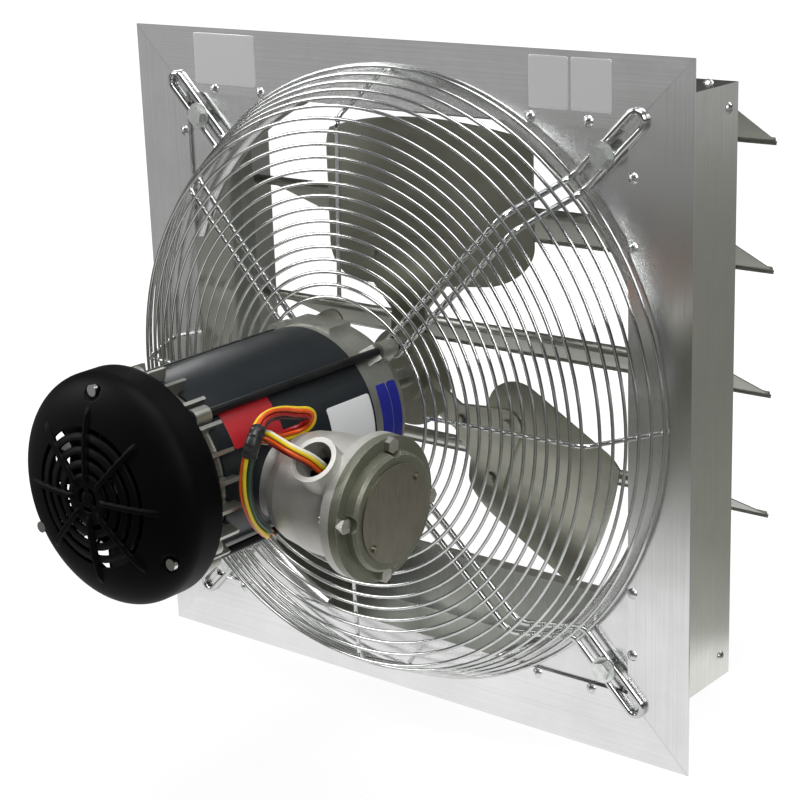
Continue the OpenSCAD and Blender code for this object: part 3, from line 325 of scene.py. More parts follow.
# %% Tape wound on the bundle
BUNDLE_R = 4.5 * MM
TAPE_HALF = 10.5 * MM
TAPE_LAP = 4.2 * MM
TAPE_T, TAPE_STEP = 0.35 * MM, 1.6
TAPE_TUCK = 0.5 * MM
TAPE_POINTS, TAPE_SIDES = 46, 28

tape_s = np.linspace(TAPE_S - TAPE_HALF, TAPE_S + TAPE_HALF, TAPE_POINTS)
tape_line = np.stack([np.interp(tape_s, bundle_s, axis) for axis in bundle_line.T], axis=1)
lap = np.mod((tape_s - tape_s[0]) / TAPE_LAP, 1.0)
tape_radius = BUNDLE_R + TAPE_T * (1.0 + TAPE_STEP * lap)
tape_radius[[0, -1]] = BUNDLE_R - TAPE_TUCK
tie = make_piece("bundle_tape", *tube(tape_line, tape_radius, TAPE_SIDES), "tie_plastic")
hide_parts("lead_tie")
print("tape:", len(tie.data.polygons), "faces")

# %% [markdown]
# A wire is no rigid part: it hangs, and a pull moves it. Here each wire's path and its length
# along that path are read off. The construction model only keeps the bundle's place, with one
# plain tube, and that tube is left out here.

# %% Each wire's path and length; the model's tube is left out
for wire_name, piece in wires.items():
    line, length = wire_facts[wire_name]
    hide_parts("motor_leads")
print("cords declared:", len(wires))

# %% [markdown]
# ## Small weld marks on the guard
# The guard is made of wire rings that are resistance welded to struts and spokes. Each joint
# squeezes out a little metal, which shows as a soft swelling where the wires cross. A swelling is
# a ball squashed along the line between the two wires; one small ball of a few dozen faces is
# worked out once and repeated at every crossing.

# %% The guard's measures, in millimetres, as radius and y
SHEET_T, RING_D, STRUT_D, STRUT_GAUGE, WELD_SINK = 1.6, 2.6, 4.8, 13.5, 0.3
ORIFICE_R, SKIRT_GAP, SKIRT_LEAN, KNEE_OUT, FACE_OUT, BEND_SWELL = 227.0, 14, 28, 60.0, 6, 0.12
SHELL_R, THROUGH_OUT, LUG_R, INNER_RING_GAP = 67.0, 4.5, 6.5, 1.2
FACE_RINGS, SKIRT_RINGS = 15, 6
SKIRT_R = ORIFICE_R + SKIRT_GAP
KNEE = np.array([SKIRT_R - SKIRT_LEAN, -KNEE_OUT])
FOOT = np.array([SKIRT_R, -SHEET_T - (STRUT_D + BEND_SWELL) / 2])
INNER = np.array([SHELL_R + THROUGH_OUT + LUG_R + INNER_RING_GAP + RING_D / 2,
                  -KNEE_OUT - FACE_OUT])
print("a strut runs", FOOT, "to", KNEE, "to", INNER)


# %% Where the wires cross
def crossing_places(start, end, shares):
    """Points along a strut's line in its own plane: each is in the middle of the weld between
    the strut and a ring that lies on its outer side."""
    along = unit(end - start)
    outward = np.array([-along[1], along[0]])
    return start + (end - start) * shares[:, None] + outward * (STRUT_D - WELD_SINK) / 2


face_shares = 1 - np.arange(FACE_RINGS) / (FACE_RINGS - 1)
skirt_shares = 1 - np.arange(1, SKIRT_RINGS + 1) / SKIRT_RINGS
in_plane = np.vstack([crossing_places(KNEE, INNER, face_shares),
                      crossing_places(FOOT, KNEE, skirt_shares)])
line_turns = [(45 + 90 * k, s * STRUT_GAUGE / 2) for k in range(4) for s in (-1, 1)]
line_turns += [(90 * k, 0.0) for k in range(4)]
weld_places, weld_ways = [], []
for turn, side in line_turns:
    c, s = math.cos(math.radians(turn)), math.sin(math.radians(turn))
    across = np.sqrt(np.maximum(in_plane[:, 0] ** 2 - side ** 2, 0))
    # A strut stands at this turn from straight up, seen from the motor
    out, tangent = np.array([s, 0, c]), np.array([c, 0, -s])
    weld_places.append(across[:, None] * out + side * tangent + in_plane[:, 1:] * [0, 1, 0])
    weld_ways.append(np.broadcast_to(tangent, weld_places[-1].shape))
weld_places = np.vstack(weld_places) * MM
weld_ways = np.vstack(weld_ways)
print("crossings:", len(weld_places))


# %% One swelling, repeated
WELD_HALF = np.array([1.9, 1.7, 1.5]) * MM


def repeated_balls(places, ways, half, rows=6, columns=8):
    """A ball stretched along each place's own way, its side, and the air's way (Y). The product
    of one small ball with each place's three axes gives every point at once."""
    a = np.linspace(-np.pi / 2, np.pi / 2, rows)[:, None]
    b = np.linspace(0, 2 * np.pi, columns, endpoint=False)[None, :]
    ball = np.stack([np.cos(a) * np.cos(b), np.cos(a) * np.sin(b), np.sin(a) + 0 * b], -1)
    ball = ball.reshape(-1, 3) * half
    y = np.broadcast_to([0.0, 1.0, 0.0], ways.shape)
    axes = np.stack([ways, np.cross(y, ways), y], axis=1)
    points = places[:, None, :] + np.einsum("pk,nkx->npx", ball, axes)
    cells = grid_faces(rows, columns, wrap_columns=True)
    faces = cells[None] + (np.arange(len(places)) * rows * columns)[:, None, None]
    return points.reshape(-1, 3), faces.reshape(-1, 4)


welds = make_piece("guard_welds", *repeated_balls(weld_places, weld_ways, WELD_HALF),
                   "guard_wire")
print("weld marks:", len(welds.data.polygons), "faces")

# %% [markdown]
# ## The fan's moulded cover
# A moulding is one smooth dome, and in the construction model it has flat bands that a soft sheen
# would show. So the cover is worked out again as a surface. Its profile is a rounded arc that
# turns round the motor's axis, with eight raised ribs and rings of slots between them. The grid's
# columns follow the edges of the ribs, so a slot is simply a block of cells that is left out, and
# a wall joins the outer skin to the inner one wherever a kept cell meets a missing one.

# %% Measures of the cover, in millimetres
COVER_R, COVER_OPEN, COVER_BACK, COVER_T = 81.0, -284.46, -328.46, 2.2
DOME_DEPTH, DOME_POWER = 28.5, 2.35
RIBS, RIB_HALF, RIB_UP = 8, 2.1, 1.7
RIB_STARTS, RIB_ENDS = (11.5, 14.5), (57.0, 62.0)
SLOT_BANDS = [(5.4, 9.0), (17.8, 21.7), (26.8, 30.7), (35.8, 39.7), (44.8, 48.7)]
INNER_BRIDGES = (0, 3, 5)
SCREW_TURNS, SCREW_R = (0, 120, 240), 72.0
POCKET_Y, POCKET_RIM, POCKET_STEP = -313.96, (5.2, 6.6), 0.8
print("cover:", COVER_OPEN - COVER_BACK, "mm deep,", RIBS, "ribs,", len(SLOT_BANDS), "slot rings")

# %% Profile of the dome: rows close together where it curves most and beside the slots
SLOT_LIP = 0.45
HUB_ROWS, RIB_END_ROWS, OUTER_ROWS = (0.6, 2.5), (60.0, 61.5), np.arange(50.5, 66, 1.5)
SHOULDER_FROM, SHOULDER_ROWS, WALL_ROWS = 0.86, 34, 6


def dome_turn(r):
    """The arc's own angle at a radius: the radius is R times sin(angle) to the power 2/p."""
    return np.arcsin(np.clip(np.asarray(r, float) / COVER_R, 0, 1) ** (DOME_POWER / 2))


slot_edges = np.ravel(SLOT_BANDS)
flat_rows = np.concatenate([HUB_ROWS, np.linspace(*RIB_STARTS, 3), OUTER_ROWS, RIB_END_ROWS,
                            slot_edges, slot_edges + SLOT_LIP])
row_turn = np.append(dome_turn(flat_rows), np.linspace(SHOULDER_FROM, np.pi / 2, SHOULDER_ROWS))
row_turn = np.unique(np.round(row_turn, 5))
row_r = COVER_R * np.sin(row_turn) ** (2 / DOME_POWER)
dome_out = np.maximum(np.cos(row_turn), 0) ** (2 / DOME_POWER)
row_y = COVER_BACK + DOME_DEPTH * (1 - dome_out)
wall_y = np.linspace(row_y[-1], COVER_OPEN, WALL_ROWS + 1)[1:]
row_r = np.concatenate([row_r, np.full(WALL_ROWS, COVER_R)])
row_y = np.concatenate([row_y, wall_y])
print("cover profile:", len(row_r), "rows")

# %% Columns that keep to the ribs' edges
SLOT_COLUMNS = 48
WIDEST_RIB = 0.4
rib_offsets = np.array([-1.0, -0.72, 0.0, 0.72])
slot_shares = np.arange(SLOT_COLUMNS) / SLOT_COLUMNS
sector = 2 * np.pi / RIBS
half_edge = np.arcsin(np.clip(RIB_HALF / row_r, 0, 1))
half_edge = np.minimum(half_edge, WIDEST_RIB * sector)[:, None]
one_sector = np.hstack([half_edge * rib_offsets,
                        half_edge + (sector - 2 * half_edge) * slot_shares])
column_turn = np.hstack([one_sector + sector * k for k in range(RIBS)])
in_sector = np.arange(one_sector.shape[1])
on_rib = np.tile((in_sector > 0) & (in_sector < len(rib_offsets)), RIBS)
in_slot_columns = np.tile(in_sector >= len(rib_offsets), RIBS)
column_rib = np.repeat(np.arange(RIBS), len(in_sector))
print("cover columns:", column_turn.shape[1])

# %% The two skins
WALL_POWER = 6
rib_along = smooth_step(row_r, *RIB_STARTS) * (1 - smooth_step(row_r, *RIB_ENDS))
lift = RIB_UP * rib_along[:, None] * on_rib
full_r = np.broadcast_to(row_r[:, None], column_turn.shape)
skin_x, skin_z = full_r * np.sin(column_turn), full_r * np.cos(column_turn)
pocket = np.zeros_like(full_r)
pocket_depth = np.maximum(POCKET_Y + POCKET_STEP - row_y[:, None], 0)
for turn in np.radians(SCREW_TURNS):
    apart = np.hypot(skin_x - SCREW_R * np.sin(turn), skin_z - SCREW_R * np.cos(turn))
    pocket = np.maximum(pocket, (1 - smooth_step(apart, *POCKET_RIM)) * pocket_depth)
skin_y = row_y[:, None] + pocket
toward_wall = (row_r[:, None] / COVER_R) ** WALL_POWER
inner_r = full_r - COVER_T * toward_wall
inner_y = skin_y + COVER_T * (1 - toward_wall)
outer = np.stack([skin_x, skin_y - lift, skin_z], axis=-1)
inner = np.stack([inner_r * np.sin(column_turn), inner_y, inner_r * np.cos(column_turn)], axis=-1)
print("pockets sink by up to", round(float(pocket.max()), 1), "mm")

# %% Leave the slots out
rows, columns = column_turn.shape
cell_r = (row_r[:-1] + row_r[1:]) / 2
cell_in_band = [(cell_r > low) & (cell_r < high) for low, high in SLOT_BANDS]
kept = ~(np.any(cell_in_band, axis=0)[:, None] & in_slot_columns)
# The innermost ring keeps only three of its bridges
kept &= ~(cell_in_band[0][:, None] & ~np.isin(column_rib, INNER_BRIDGES))
print("cells left out:", int((~kept).sum()), "of", kept.size)

# %% Wall the slots, and close the rim and the hub
top = rows * columns
number = np.arange(top).reshape(rows, columns)
beside = np.roll(number, -1, axis=1)


def wall(first, second, wanted):
    """Quads from the outer skin to the inner one along the edges first-second that are wanted."""
    a, b = first[wanted], second[wanted]
    return np.stack([a, b, b + top, a + top], axis=1)


left_cell = np.roll(kept, 1, axis=1)
step_in, step_out = kept[1:] & ~kept[:-1], ~kept[1:] & kept[:-1]
walls = [wall(number[:-1], number[1:], kept & ~left_cell),
         wall(number[1:], number[:-1], ~kept & left_cell),
         wall(beside[1:-1], number[1:-1], step_in),
         wall(number[1:-1], beside[1:-1], step_out),
         wall(number[-1], beside[-1], np.ones(columns, bool))]
hubs = np.array([[0, COVER_BACK, 0], [0, COVER_BACK + COVER_T, 0]])
skin = grid_faces(rows, columns, wrap_columns=True)[kept.ravel()]
dome_points = np.vstack([outer.reshape(-1, 3), inner.reshape(-1, 3), hubs]) * MM
dome_faces = np.vstack([skin, skin[:, ::-1] + top, *walls, cap_faces(number[0], 2 * top)[:, ::-1],
                        cap_faces(number[0] + top, 2 * top + 1)])
print("cover faces:", len(dome_faces))


# %% Which way round
def swept_volume(points, faces):
    """A closed surface's signed volume: positive when every face looks outward. Each face gives
    the volume of the pyramid from it to the origin, a third of height times base."""
    a, b, c, d = (points[faces[:, k]] for k in range(4))
    halves = np.einsum("ij,ij->i", a, np.cross(b, c)) + np.einsum("ij,ij->i", a, np.cross(c, d))
    return halves.sum() / 6


if swept_volume(dome_points, dome_faces) < 0:
    dome_faces = dome_faces[:, ::-1]
cover_dome = make_piece("cover_dome", dome_points, dome_faces, "fan_cover_plastic")
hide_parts("fan_cover")
print("cover volume:", round(swept_volume(dome_points, dome_faces) * 1e6, 1), "ml")

# %% [markdown]
# ## Finishes
# A flat colour looks like paper. Real sheet metal has streaks from the rolling mill and cloudy
# patches from handling; a casting has grain and pits; paint has a faint orange peel. Each of
# these is a small graph of noise textures. A node group holds such a graph once, with named
# inputs, and every material that needs it places the group with its own numbers.
# All patterns read Object coordinates, in metres, so a scale of 1000 makes millimetre features.

# %% Helpers that join shader nodes
def feed(tree, socket, value):
    """A node's first output, or an output by itself, is joined to the socket. A plain number or
    colour is stored in it."""
    if isinstance(value, bpy.types.Node):
        value = value.outputs[0]
    if isinstance(value, bpy.types.NodeSocket):
        tree.links.new(value, socket)
    elif isinstance(value, (tuple, list)) and socket.type == "RGBA" and len(value) == 3:
        socket.default_value = (*value, 1)
    else:
        socket.default_value = value


def place_node(tree, kind, inputs, **settings):
    """A node of that kind with some settings, and its inputs fed by name or number."""
    node = tree.nodes.new("ShaderNode" + kind)
    for key, value in settings.items():
        setattr(node, key, value)
    for key, value in inputs.items():
        feed(tree, node.inputs[key], value)
    return node


def noise(tree, where, scale, detail, rough):
    return place_node(tree, "TexNoise", {"Vector": where, "Scale": scale, "Detail": detail,
                                         "Roughness": rough})


def spread(tree, value, low, high, to_low=0.0, to_high=1.0):
    """The range low to high becomes to_low to to_high, and no further."""
    return place_node(tree, "MapRange", {0: value, 1: low, 2: high, 3: to_low, 4: to_high})


def sums(tree, operation, a, b):
    return place_node(tree, "Math", {0: a, 1: b}, operation=operation)


def weighed(tree, a, share_a, b, share_b):
    """a times its share, plus b times its share."""
    return sums(tree, "ADD", sums(tree, "MULTIPLY", a, share_a),
                sums(tree, "MULTIPLY", b, share_b))


def swayed(tree, base, high, low, amount):
    """The base moved by (high - low) times an amount, so a pattern pushes it both ways."""
    return sums(tree, "ADD", base,
                sums(tree, "MULTIPLY", sums(tree, "SUBTRACT", high, low), amount))


def blend(tree, share, a, b):
    """Colour a where share is 0, and b where it is 1."""
    return place_node(tree, "Mix", {0: share, 6: a, 7: b}, data_type="RGBA").outputs[2]


def empty_tree(owner):
    """The node tree of a material or a world, with nothing in it yet."""
    owner.use_nodes = True
    owner.node_tree.nodes.clear()
    return owner.node_tree


print("node helpers are ready")


# %% A node group with named sockets
def grey(level):
    return (level, level, level)


def new_group(title, vectors=("Place",), colours=("Base", "Second"),
              numbers=("Roughness", "Spread", "Scale"), outputs=("Roughness", "Height")):
    """An empty node group. Its inputs are vectors, colours and numbers by name, and it puts out
    a colour and the named numbers. Returns it with the sockets of its two end nodes."""
    group = bpy.data.node_groups.new(title, "ShaderNodeTree")
    for way, kind, names in [("INPUT", "Vector", vectors), ("INPUT", "Color", colours),
                             ("INPUT", "Float", numbers), ("OUTPUT", "Color", ["Color"]),
                             ("OUTPUT", "Float", outputs)]:
        for name in names:
            group.interface.new_socket(name, in_out=way, socket_type="NodeSocket" + kind)
    ends = group.nodes.new("NodeGroupInput"), group.nodes.new("NodeGroupOutput")
    return group, ends[0].outputs, ends[1].inputs


print("middle grey is", grey(0.5))

# %% Rolled sheet: cloudy patches under fine streaks
rolled, given, out = new_group("Rolled sheet", vectors=["Place", "Lines"])
cloud = noise(rolled, given["Place"], given["Scale"], detail=5, rough=0.62)
streak = noise(rolled, given["Lines"], 1.0, detail=3, rough=0.55)
tone = spread(rolled, weighed(rolled, cloud, 0.6, streak, 0.4), 0.36, 0.64)
feed(rolled, out["Color"], blend(rolled, tone, given["Second"], given["Base"]))
shine = swayed(rolled, given["Roughness"], 0.5, tone, given["Spread"])
feed(rolled, out["Roughness"], shine)
feed(rolled, out["Height"], streak)
print(rolled.name, "has", len(rolled.nodes), "nodes")

# %% Cast skin: grain, pits and slow stains
STAIN_SCALE, PIT_SCALE = 0.035, 0.55
cast, given, out = new_group("Cast skin")
grain = noise(cast, given["Place"], given["Scale"], detail=5, rough=0.7)
stain_scale = sums(cast, "MULTIPLY", given["Scale"], STAIN_SCALE)
stain = noise(cast, given["Place"], stain_scale, detail=4, rough=0.6)
pit_scale = sums(cast, "MULTIPLY", given["Scale"], PIT_SCALE)
pit_map = place_node(cast, "TexVoronoi", {"Vector": given["Place"], "Scale": pit_scale})
pits = spread(cast, pit_map.outputs["Distance"], 0.05, 0.42)
tone = spread(cast, weighed(cast, stain, 0.7, grain, 0.3), 0.35, 0.65)
feed(cast, out["Color"], blend(cast, tone, given["Second"], given["Base"]))
shine = swayed(cast, given["Roughness"], grain, 0.5, given["Spread"])
feed(cast, out["Roughness"], shine)
feed(cast, out["Height"], weighed(cast, grain, 0.65, pits, 0.35))
print(cast.name, "has", len(cast.nodes), "nodes")

# %% Satin skin: the orange peel of paint and the dapple of mouldings
SMEAR_SCALE = 0.02
satin, given, out = new_group("Satin skin")
peel = noise(satin, given["Place"], given["Scale"], detail=2, rough=0.5)
smear_scale = sums(satin, "MULTIPLY", given["Scale"], SMEAR_SCALE)
smear = noise(satin, given["Place"], smear_scale, detail=5, rough=0.65)
rub = spread(satin, smear, 0.48, 0.74)
feed(satin, out["Color"], blend(satin, rub, given["Base"], given["Second"]))
shine = swayed(satin, given["Roughness"], rub, 0.3, given["Spread"])
feed(satin, out["Roughness"], shine)
feed(satin, out["Height"], peel)
print(satin.name, "has", len(satin.nodes), "nodes")

# %% [markdown]
# An edge catches every knock, so it is brighter than the faces beside it. Its brighter colour is
# partly wear and partly a painted highlight, the glint a rounded edge would catch. The Bevel node
# gives the normal that the surface would have if its edges were rounded. Where that differs from
# the true normal there is an edge nearby, and a little noise breaks the line up.

# %% Worn edges, with a painted highlight
CHIP_SCALE = 260.0
worn, given, out = new_group("Worn and highlit edges", colours=["Color", "Bare"],
                             numbers=["Reach", "Amount"], outputs=[])
rounded = place_node(worn, "Bevel", {"Radius": given["Reach"]}, samples=4)
true_way = place_node(worn, "NewGeometry", {}).outputs["Normal"]
match = place_node(worn, "VectorMath", {0: rounded, 1: true_way}, operation="DOT_PRODUCT")
# The edge mask: wear, and a painted highlight along every edge
edge = spread(worn, match.outputs["Value"], 0.99, 0.86)
chips = spread(worn, noise(worn, given["Place"], CHIP_SCALE, detail=4, rough=0.7), 0.38, 0.60)
edge = sums(worn, "MULTIPLY", sums(worn, "MULTIPLY", edge, chips), given["Amount"])
feed(worn, out["Color"], blend(worn, edge, given["Color"], given["Bare"]))
print(worn.name, "has", len(worn.nodes), "nodes")

# %% Dust that settles on what faces up
PATCH_SCALE = 55.0
dusty, given, out = new_group("Settled dust", ["Place", "Up"], ["Color", "Dust"], ["Amount"],
                              outputs=["Mask"])
height = place_node(dusty, "SeparateXYZ", {0: given["Up"]}).outputs["Z"]
facing = spread(dusty, height, 0.1, 0.95)
patches = noise(dusty, given["Place"], PATCH_SCALE, detail=6, rough=0.7)
patches = spread(dusty, patches, 0.3, 0.7)
mask = sums(dusty, "MULTIPLY", sums(dusty, "MULTIPLY", facing, patches), given["Amount"])
feed(dusty, out["Color"], blend(dusty, mask, given["Color"], given["Dust"]))
feed(dusty, out["Mask"], mask)
print("groups:", [g.name for g in bpy.data.node_groups])

# %% One recipe for every material
DUST_TONE, DUST_ROUGHENS = (0.42, 0.39, 0.34), 0.5
finishes = {}


def finish(skin, title, base, second, roughness, spread_by=0.16, lines=None, scale=900.0,
           bump=30 * MICRON, worn_to=None, reach=0.8 * MM, wear=0.6, dust=0.0, **shader):
    """skin is one of the groups above, base and second its two colours, and roughness varies by
    spread_by. scale is that of the pattern, lines that of the streaks on each axis, and bump the
    height of the relief in metres. worn_to is the colour of the edges, for wear and a painted
    highlight, dust the most that settles, and what is left goes to the shader's own sockets as
    plain numbers."""
    finishes[title] = material = bpy.data.materials.new(title)
    tree = empty_tree(material)
    place = place_node(tree, "TexCoord", {})
    at = place.outputs["Object"]
    looks = {"Place": at, "Base": base, "Second": second, "Roughness": roughness,
             "Spread": spread_by, "Scale": scale}
    if lines:
        looks["Lines"] = place_node(tree, "Mapping", {"Vector": at, "Scale": lines})
    body = place_node(tree, "Group", looks, node_tree=skin)
    color, shine = body.outputs["Color"], body.outputs["Roughness"]
    # Edges take the colour for wear and a painted highlight
    if worn_to is not None:
        edges = place_node(tree, "Group", {"Place": at, "Color": color, "Bare": worn_to,
                                           "Reach": reach, "Amount": wear}, node_tree=worn)
        color = edges.outputs["Color"]
    if dust:
        settled = place_node(tree, "Group", {"Place": at, "Up": place.outputs["Normal"],
                                             "Color": color, "Dust": DUST_TONE,
                                             "Amount": dust}, node_tree=dusty)
        color = settled.outputs["Color"]
        rougher = sums(tree, "MULTIPLY", settled.outputs["Mask"], DUST_ROUGHENS)
        shine = sums(tree, "ADD", shine, rougher)
    relief = place_node(tree, "Bump", {"Strength": 1.0, "Distance": bump,
                                       "Height": body.outputs["Height"]})
    principled = place_node(tree, "BsdfPrincipled", {"Base Color": color, "Roughness": shine,
                                                     "Normal": relief})
    for key, value in shader.items():
        feed(tree, principled.inputs[key.replace("_", " ")], value)
    place_node(tree, "OutputMaterial", {"Surface": principled})


metal = partial(finish, rolled, scale=11.0, bump=4 * MICRON, Metallic=1.0)
casting = partial(finish, cast, spread_by=0.25)
satin_finish = partial(finish, satin)
print("the recipe is ready for", [skin.name for skin in (rolled, cast, satin)])

# %% [markdown]
# ### The metals
# Mill-finish sheet has streaks along the way it was rolled, so its pattern is stretched: a
# pattern that is coarse along one axis and fine along the other two reads as lines. The flange's
# four strips were cut along their length, so two of them have level streaks and two upright ones.
# Metal gets its look from what it reflects, which is why its roughness matters more than its
# colour here.

# %% Sheet aluminium
LEVEL, UPRIGHT = (9, 1500, 1500), (1500, 1500, 9)
# The edge colour of bare sheet: wear, and a painted highlight
BARE_AND_HIGHLIT = grey(0.92)
metal("flange_sheet", grey(0.86), grey(0.76), 0.21, 0.12, LEVEL, worn_to=BARE_AND_HIGHLIT, dust=0.05)
metal("flange_sheet_upright", grey(0.84), grey(0.74), 0.21, 0.12, UPRIGHT, worn_to=BARE_AND_HIGHLIT,
      dust=0.05)
metal("sleeve_sheet", (0.84, 0.85, 0.80), (0.70, 0.71, 0.66), 0.20, 0.12, UPRIGHT,
      worn_to=BARE_AND_HIGHLIT, dust=0.05)
metal("gusset_sheet", grey(0.80), grey(0.72), 0.24, 0.10, (60, 60, 60), scale=9.0, worn_to=BARE_AND_HIGHLIT)
metal("shutter_frame", (0.55, 0.56, 0.54), (0.42, 0.43, 0.41), 0.42, 0.15, UPRIGHT,
      worn_to=grey(0.7), dust=0.1)
metal("louvre_sheet", (0.62, 0.62, 0.58), (0.50, 0.50, 0.46), 0.45, 0.15, LEVEL,
      worn_to=(0.82, 0.82, 0.80), dust=0.10)
metal("propeller_metal", (0.44, 0.436, 0.375), (0.30, 0.298, 0.245), 0.34, 0.12, (10, 20, 40),
      scale=12.0, bump=MICRON, worn_to=(0.75, 0.75, 0.72), dust=0.08)
metal("box_plate", (0.37, 0.352, 0.29), (0.27, 0.255, 0.205), 0.34, 0.2, (90, 900, 90),
      scale=40.0, worn_to=(0.7, 0.69, 0.64), reach=0.5 * MM)
print("sheet finishes:", sorted(finishes))

# %% Wire, fasteners and turned parts
FINE, FINEST, TURNED = (200, 200, 200), (300, 300, 300), (500, 8, 500)
metal("guard_wire", (0.70, 0.71, 0.70), (0.52, 0.53, 0.52), 0.09, 0.12, (70, 70, 70), scale=60.0)
metal("rivets", (0.78, 0.79, 0.79), (0.60, 0.61, 0.61), 0.26, 0.15, FINEST, scale=150.0,
      worn_to=BARE_AND_HIGHLIT, reach=0.3 * MM)
metal("rod_steel", (0.66, 0.66, 0.67), (0.46, 0.46, 0.47), 0.30, 0.2, LEVEL)
metal("dull_bolts", (0.88, 0.90, 0.88), (0.64, 0.66, 0.64), 0.36, 0.2, FINE, scale=120.0,
      bump=30 * MICRON, worn_to=(0.85, 0.85, 0.84), reach=0.4 * MM)
metal("bright_screws", grey(0.86), (0.66, 0.66, 0.67), 0.20, 0.15, FINE, scale=140.0,
      worn_to=BARE_AND_HIGHLIT, reach=0.3 * MM)
metal("box_bolts", (0.72, 0.71, 0.66), (0.50, 0.49, 0.45), 0.28, 0.2, FINE, scale=120.0,
      bump=20 * MICRON, worn_to=(0.88, 0.87, 0.84), reach=0.4 * MM)
metal("shaft_steel", (0.62, 0.62, 0.64), (0.45, 0.45, 0.47), 0.24, 0.15, TURNED)
metal("bearing_steel", (0.72, 0.72, 0.74), (0.60, 0.60, 0.62), 0.12, 0.08, (300, 8, 300))
metal("lamination", (0.34, 0.34, 0.36), (0.20, 0.20, 0.22), 0.45, 0.2, (4, 1400, 4),
      bump=50 * MICRON)
metal("copper_wire", (0.72, 0.36, 0.17), (0.45, 0.18, 0.08), 0.28, 0.15, (900, 60, 900),
      bump=80 * MICRON)
metal("governor_brass", (0.60, 0.50, 0.28), (0.44, 0.36, 0.18), 0.32, 0.15, FINEST)
print("metal finishes:", len(finishes))

# %% [markdown]
# ### Castings, paint and mouldings
# The motor's end bells are die cast: fine grain, a dull grey, bright where a fin's edge was
# rubbed, and brighter there still as a painted highlight. The wiring box is sand cast, so its
# skin is coarser and warmer. The shell is painted steel and the fan's cover is a black moulding
# with a dapple that stops it shining.

# %% Castings
casting("motor_casting", (0.58, 0.585, 0.54), (0.34, 0.345, 0.31), 0.34, scale=800.0,
        bump=140 * MICRON, Metallic=0.9, worn_to=(0.86, 0.86, 0.83), reach=1.0 * MM, wear=0.8,
        dust=0.06)
casting("box_casting", (0.66, 0.65, 0.61), (0.50, 0.49, 0.455), 0.40, scale=620.0,
        bump=220 * MICRON, Metallic=0.5, worn_to=(0.80, 0.79, 0.75), reach=1.2 * MM, dust=0.04)
casting("box_cover_casting", (0.26, 0.265, 0.205), (0.16, 0.165, 0.12), 0.38, scale=620.0,
        bump=180 * MICRON, Metallic=0.5, worn_to=(0.58, 0.58, 0.50), reach=1.0 * MM, wear=0.7,
        dust=0.03)
print("with castings:", len(finishes))

# %% Paint and plastics
satin_finish("shell_paint", (0.0085, 0.0115, 0.0145), (0.0100, 0.0135, 0.0165), 0.36, 0.03,
             scale=520.0, bump=6 * MICRON, dust=0.01, Coat_Weight=0.08, Coat_Roughness=0.25,
             Specular_IOR_Level=0.30)
satin_finish("black_rods", (0.006, 0.006, 0.007), grey(0.02), 0.36, bump=10 * MICRON,
             worn_to=grey(0.12), reach=0.4 * MM, wear=0.3, Specular_IOR_Level=0.25)
satin_finish("fan_cover_plastic", (0.0026, 0.0026, 0.0032), (0.0036, 0.0036, 0.0042), 0.48, 0.05,
             scale=1300.0, worn_to=grey(0.010), reach=0.7 * MM, wear=0.4, dust=0.003,
             Specular_IOR_Level=0.06)
satin_finish("fan_plastic", (0.005, 0.005, 0.006), grey(0.01), 0.46, dust=0.02,
             Specular_IOR_Level=0.3)
satin_finish("nylon", (0.72, 0.72, 0.68), (0.60, 0.60, 0.55), 0.42, scale=700.0,
             bump=20 * MICRON)
satin_finish("phenolic", (0.20, 0.10, 0.045), (0.28, 0.15, 0.07), 0.38, scale=800.0)
satin_finish("tie_plastic", (0.012, 0.012, 0.013), grey(0.03), 0.36)
for wire_name, (colour, _, _) in WIRES.items():
    rubbed = tuple(min(1.0, c * 1.2 + 0.01) for c in colour)
    satin_finish(wire_name, colour, rubbed, 0.26, bump=20 * MICRON)
print("all finishes:", len(finishes))

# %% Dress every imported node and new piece
OTHER_LOOKS = {"flange_left": "flange_sheet_upright", "flange_right": "flange_sheet_upright",
               "conduit_cover": "box_cover_casting", "motor_leads": "wire_orange"}
for subpart in frame["record"]["subparts"]:
    node = NODES[subpart["node"]]
    node.data.materials.clear()
    node.data.materials.append(finishes[OTHER_LOOKS.get(node.name, subpart["material_slot"])])
new_pieces = [(piece, wire_name) for wire_name, piece in wires.items()]
new_pieces += [(wire_cores, "copper_wire"), (tie, "tie_plastic"),
               (cover_dome, "fan_cover_plastic"), (welds, "guard_wire")]
for piece, title in new_pieces:
    piece.data.materials.append(finishes[title])
print("dressed nodes:", len(NODES), "and new pieces:", len(new_pieces))

# %% [markdown]
# ## Blank stickers
# Fans like this carry data plates. Here their places are kept and the stickers are blank: thin
# film with round corners that follows the metal under it. A sticker is worked out flat, as rings
# from its centre to its rim and down over the edge, and then laid on a plane or bent round a
# cylinder by the same (u, v, height) formula.

# %% A sticker's outline, in rings
FILM = 0.16 * MM
CORNER = 1.2 * MM
FILM_RINGS, FILM_POINTS = 14, 96
FIRST_RING, LAST_FLAT_RING = 0.02, 0.985
RIM_SHARE, RIM_SINK = 0.7, 0.05 * MM


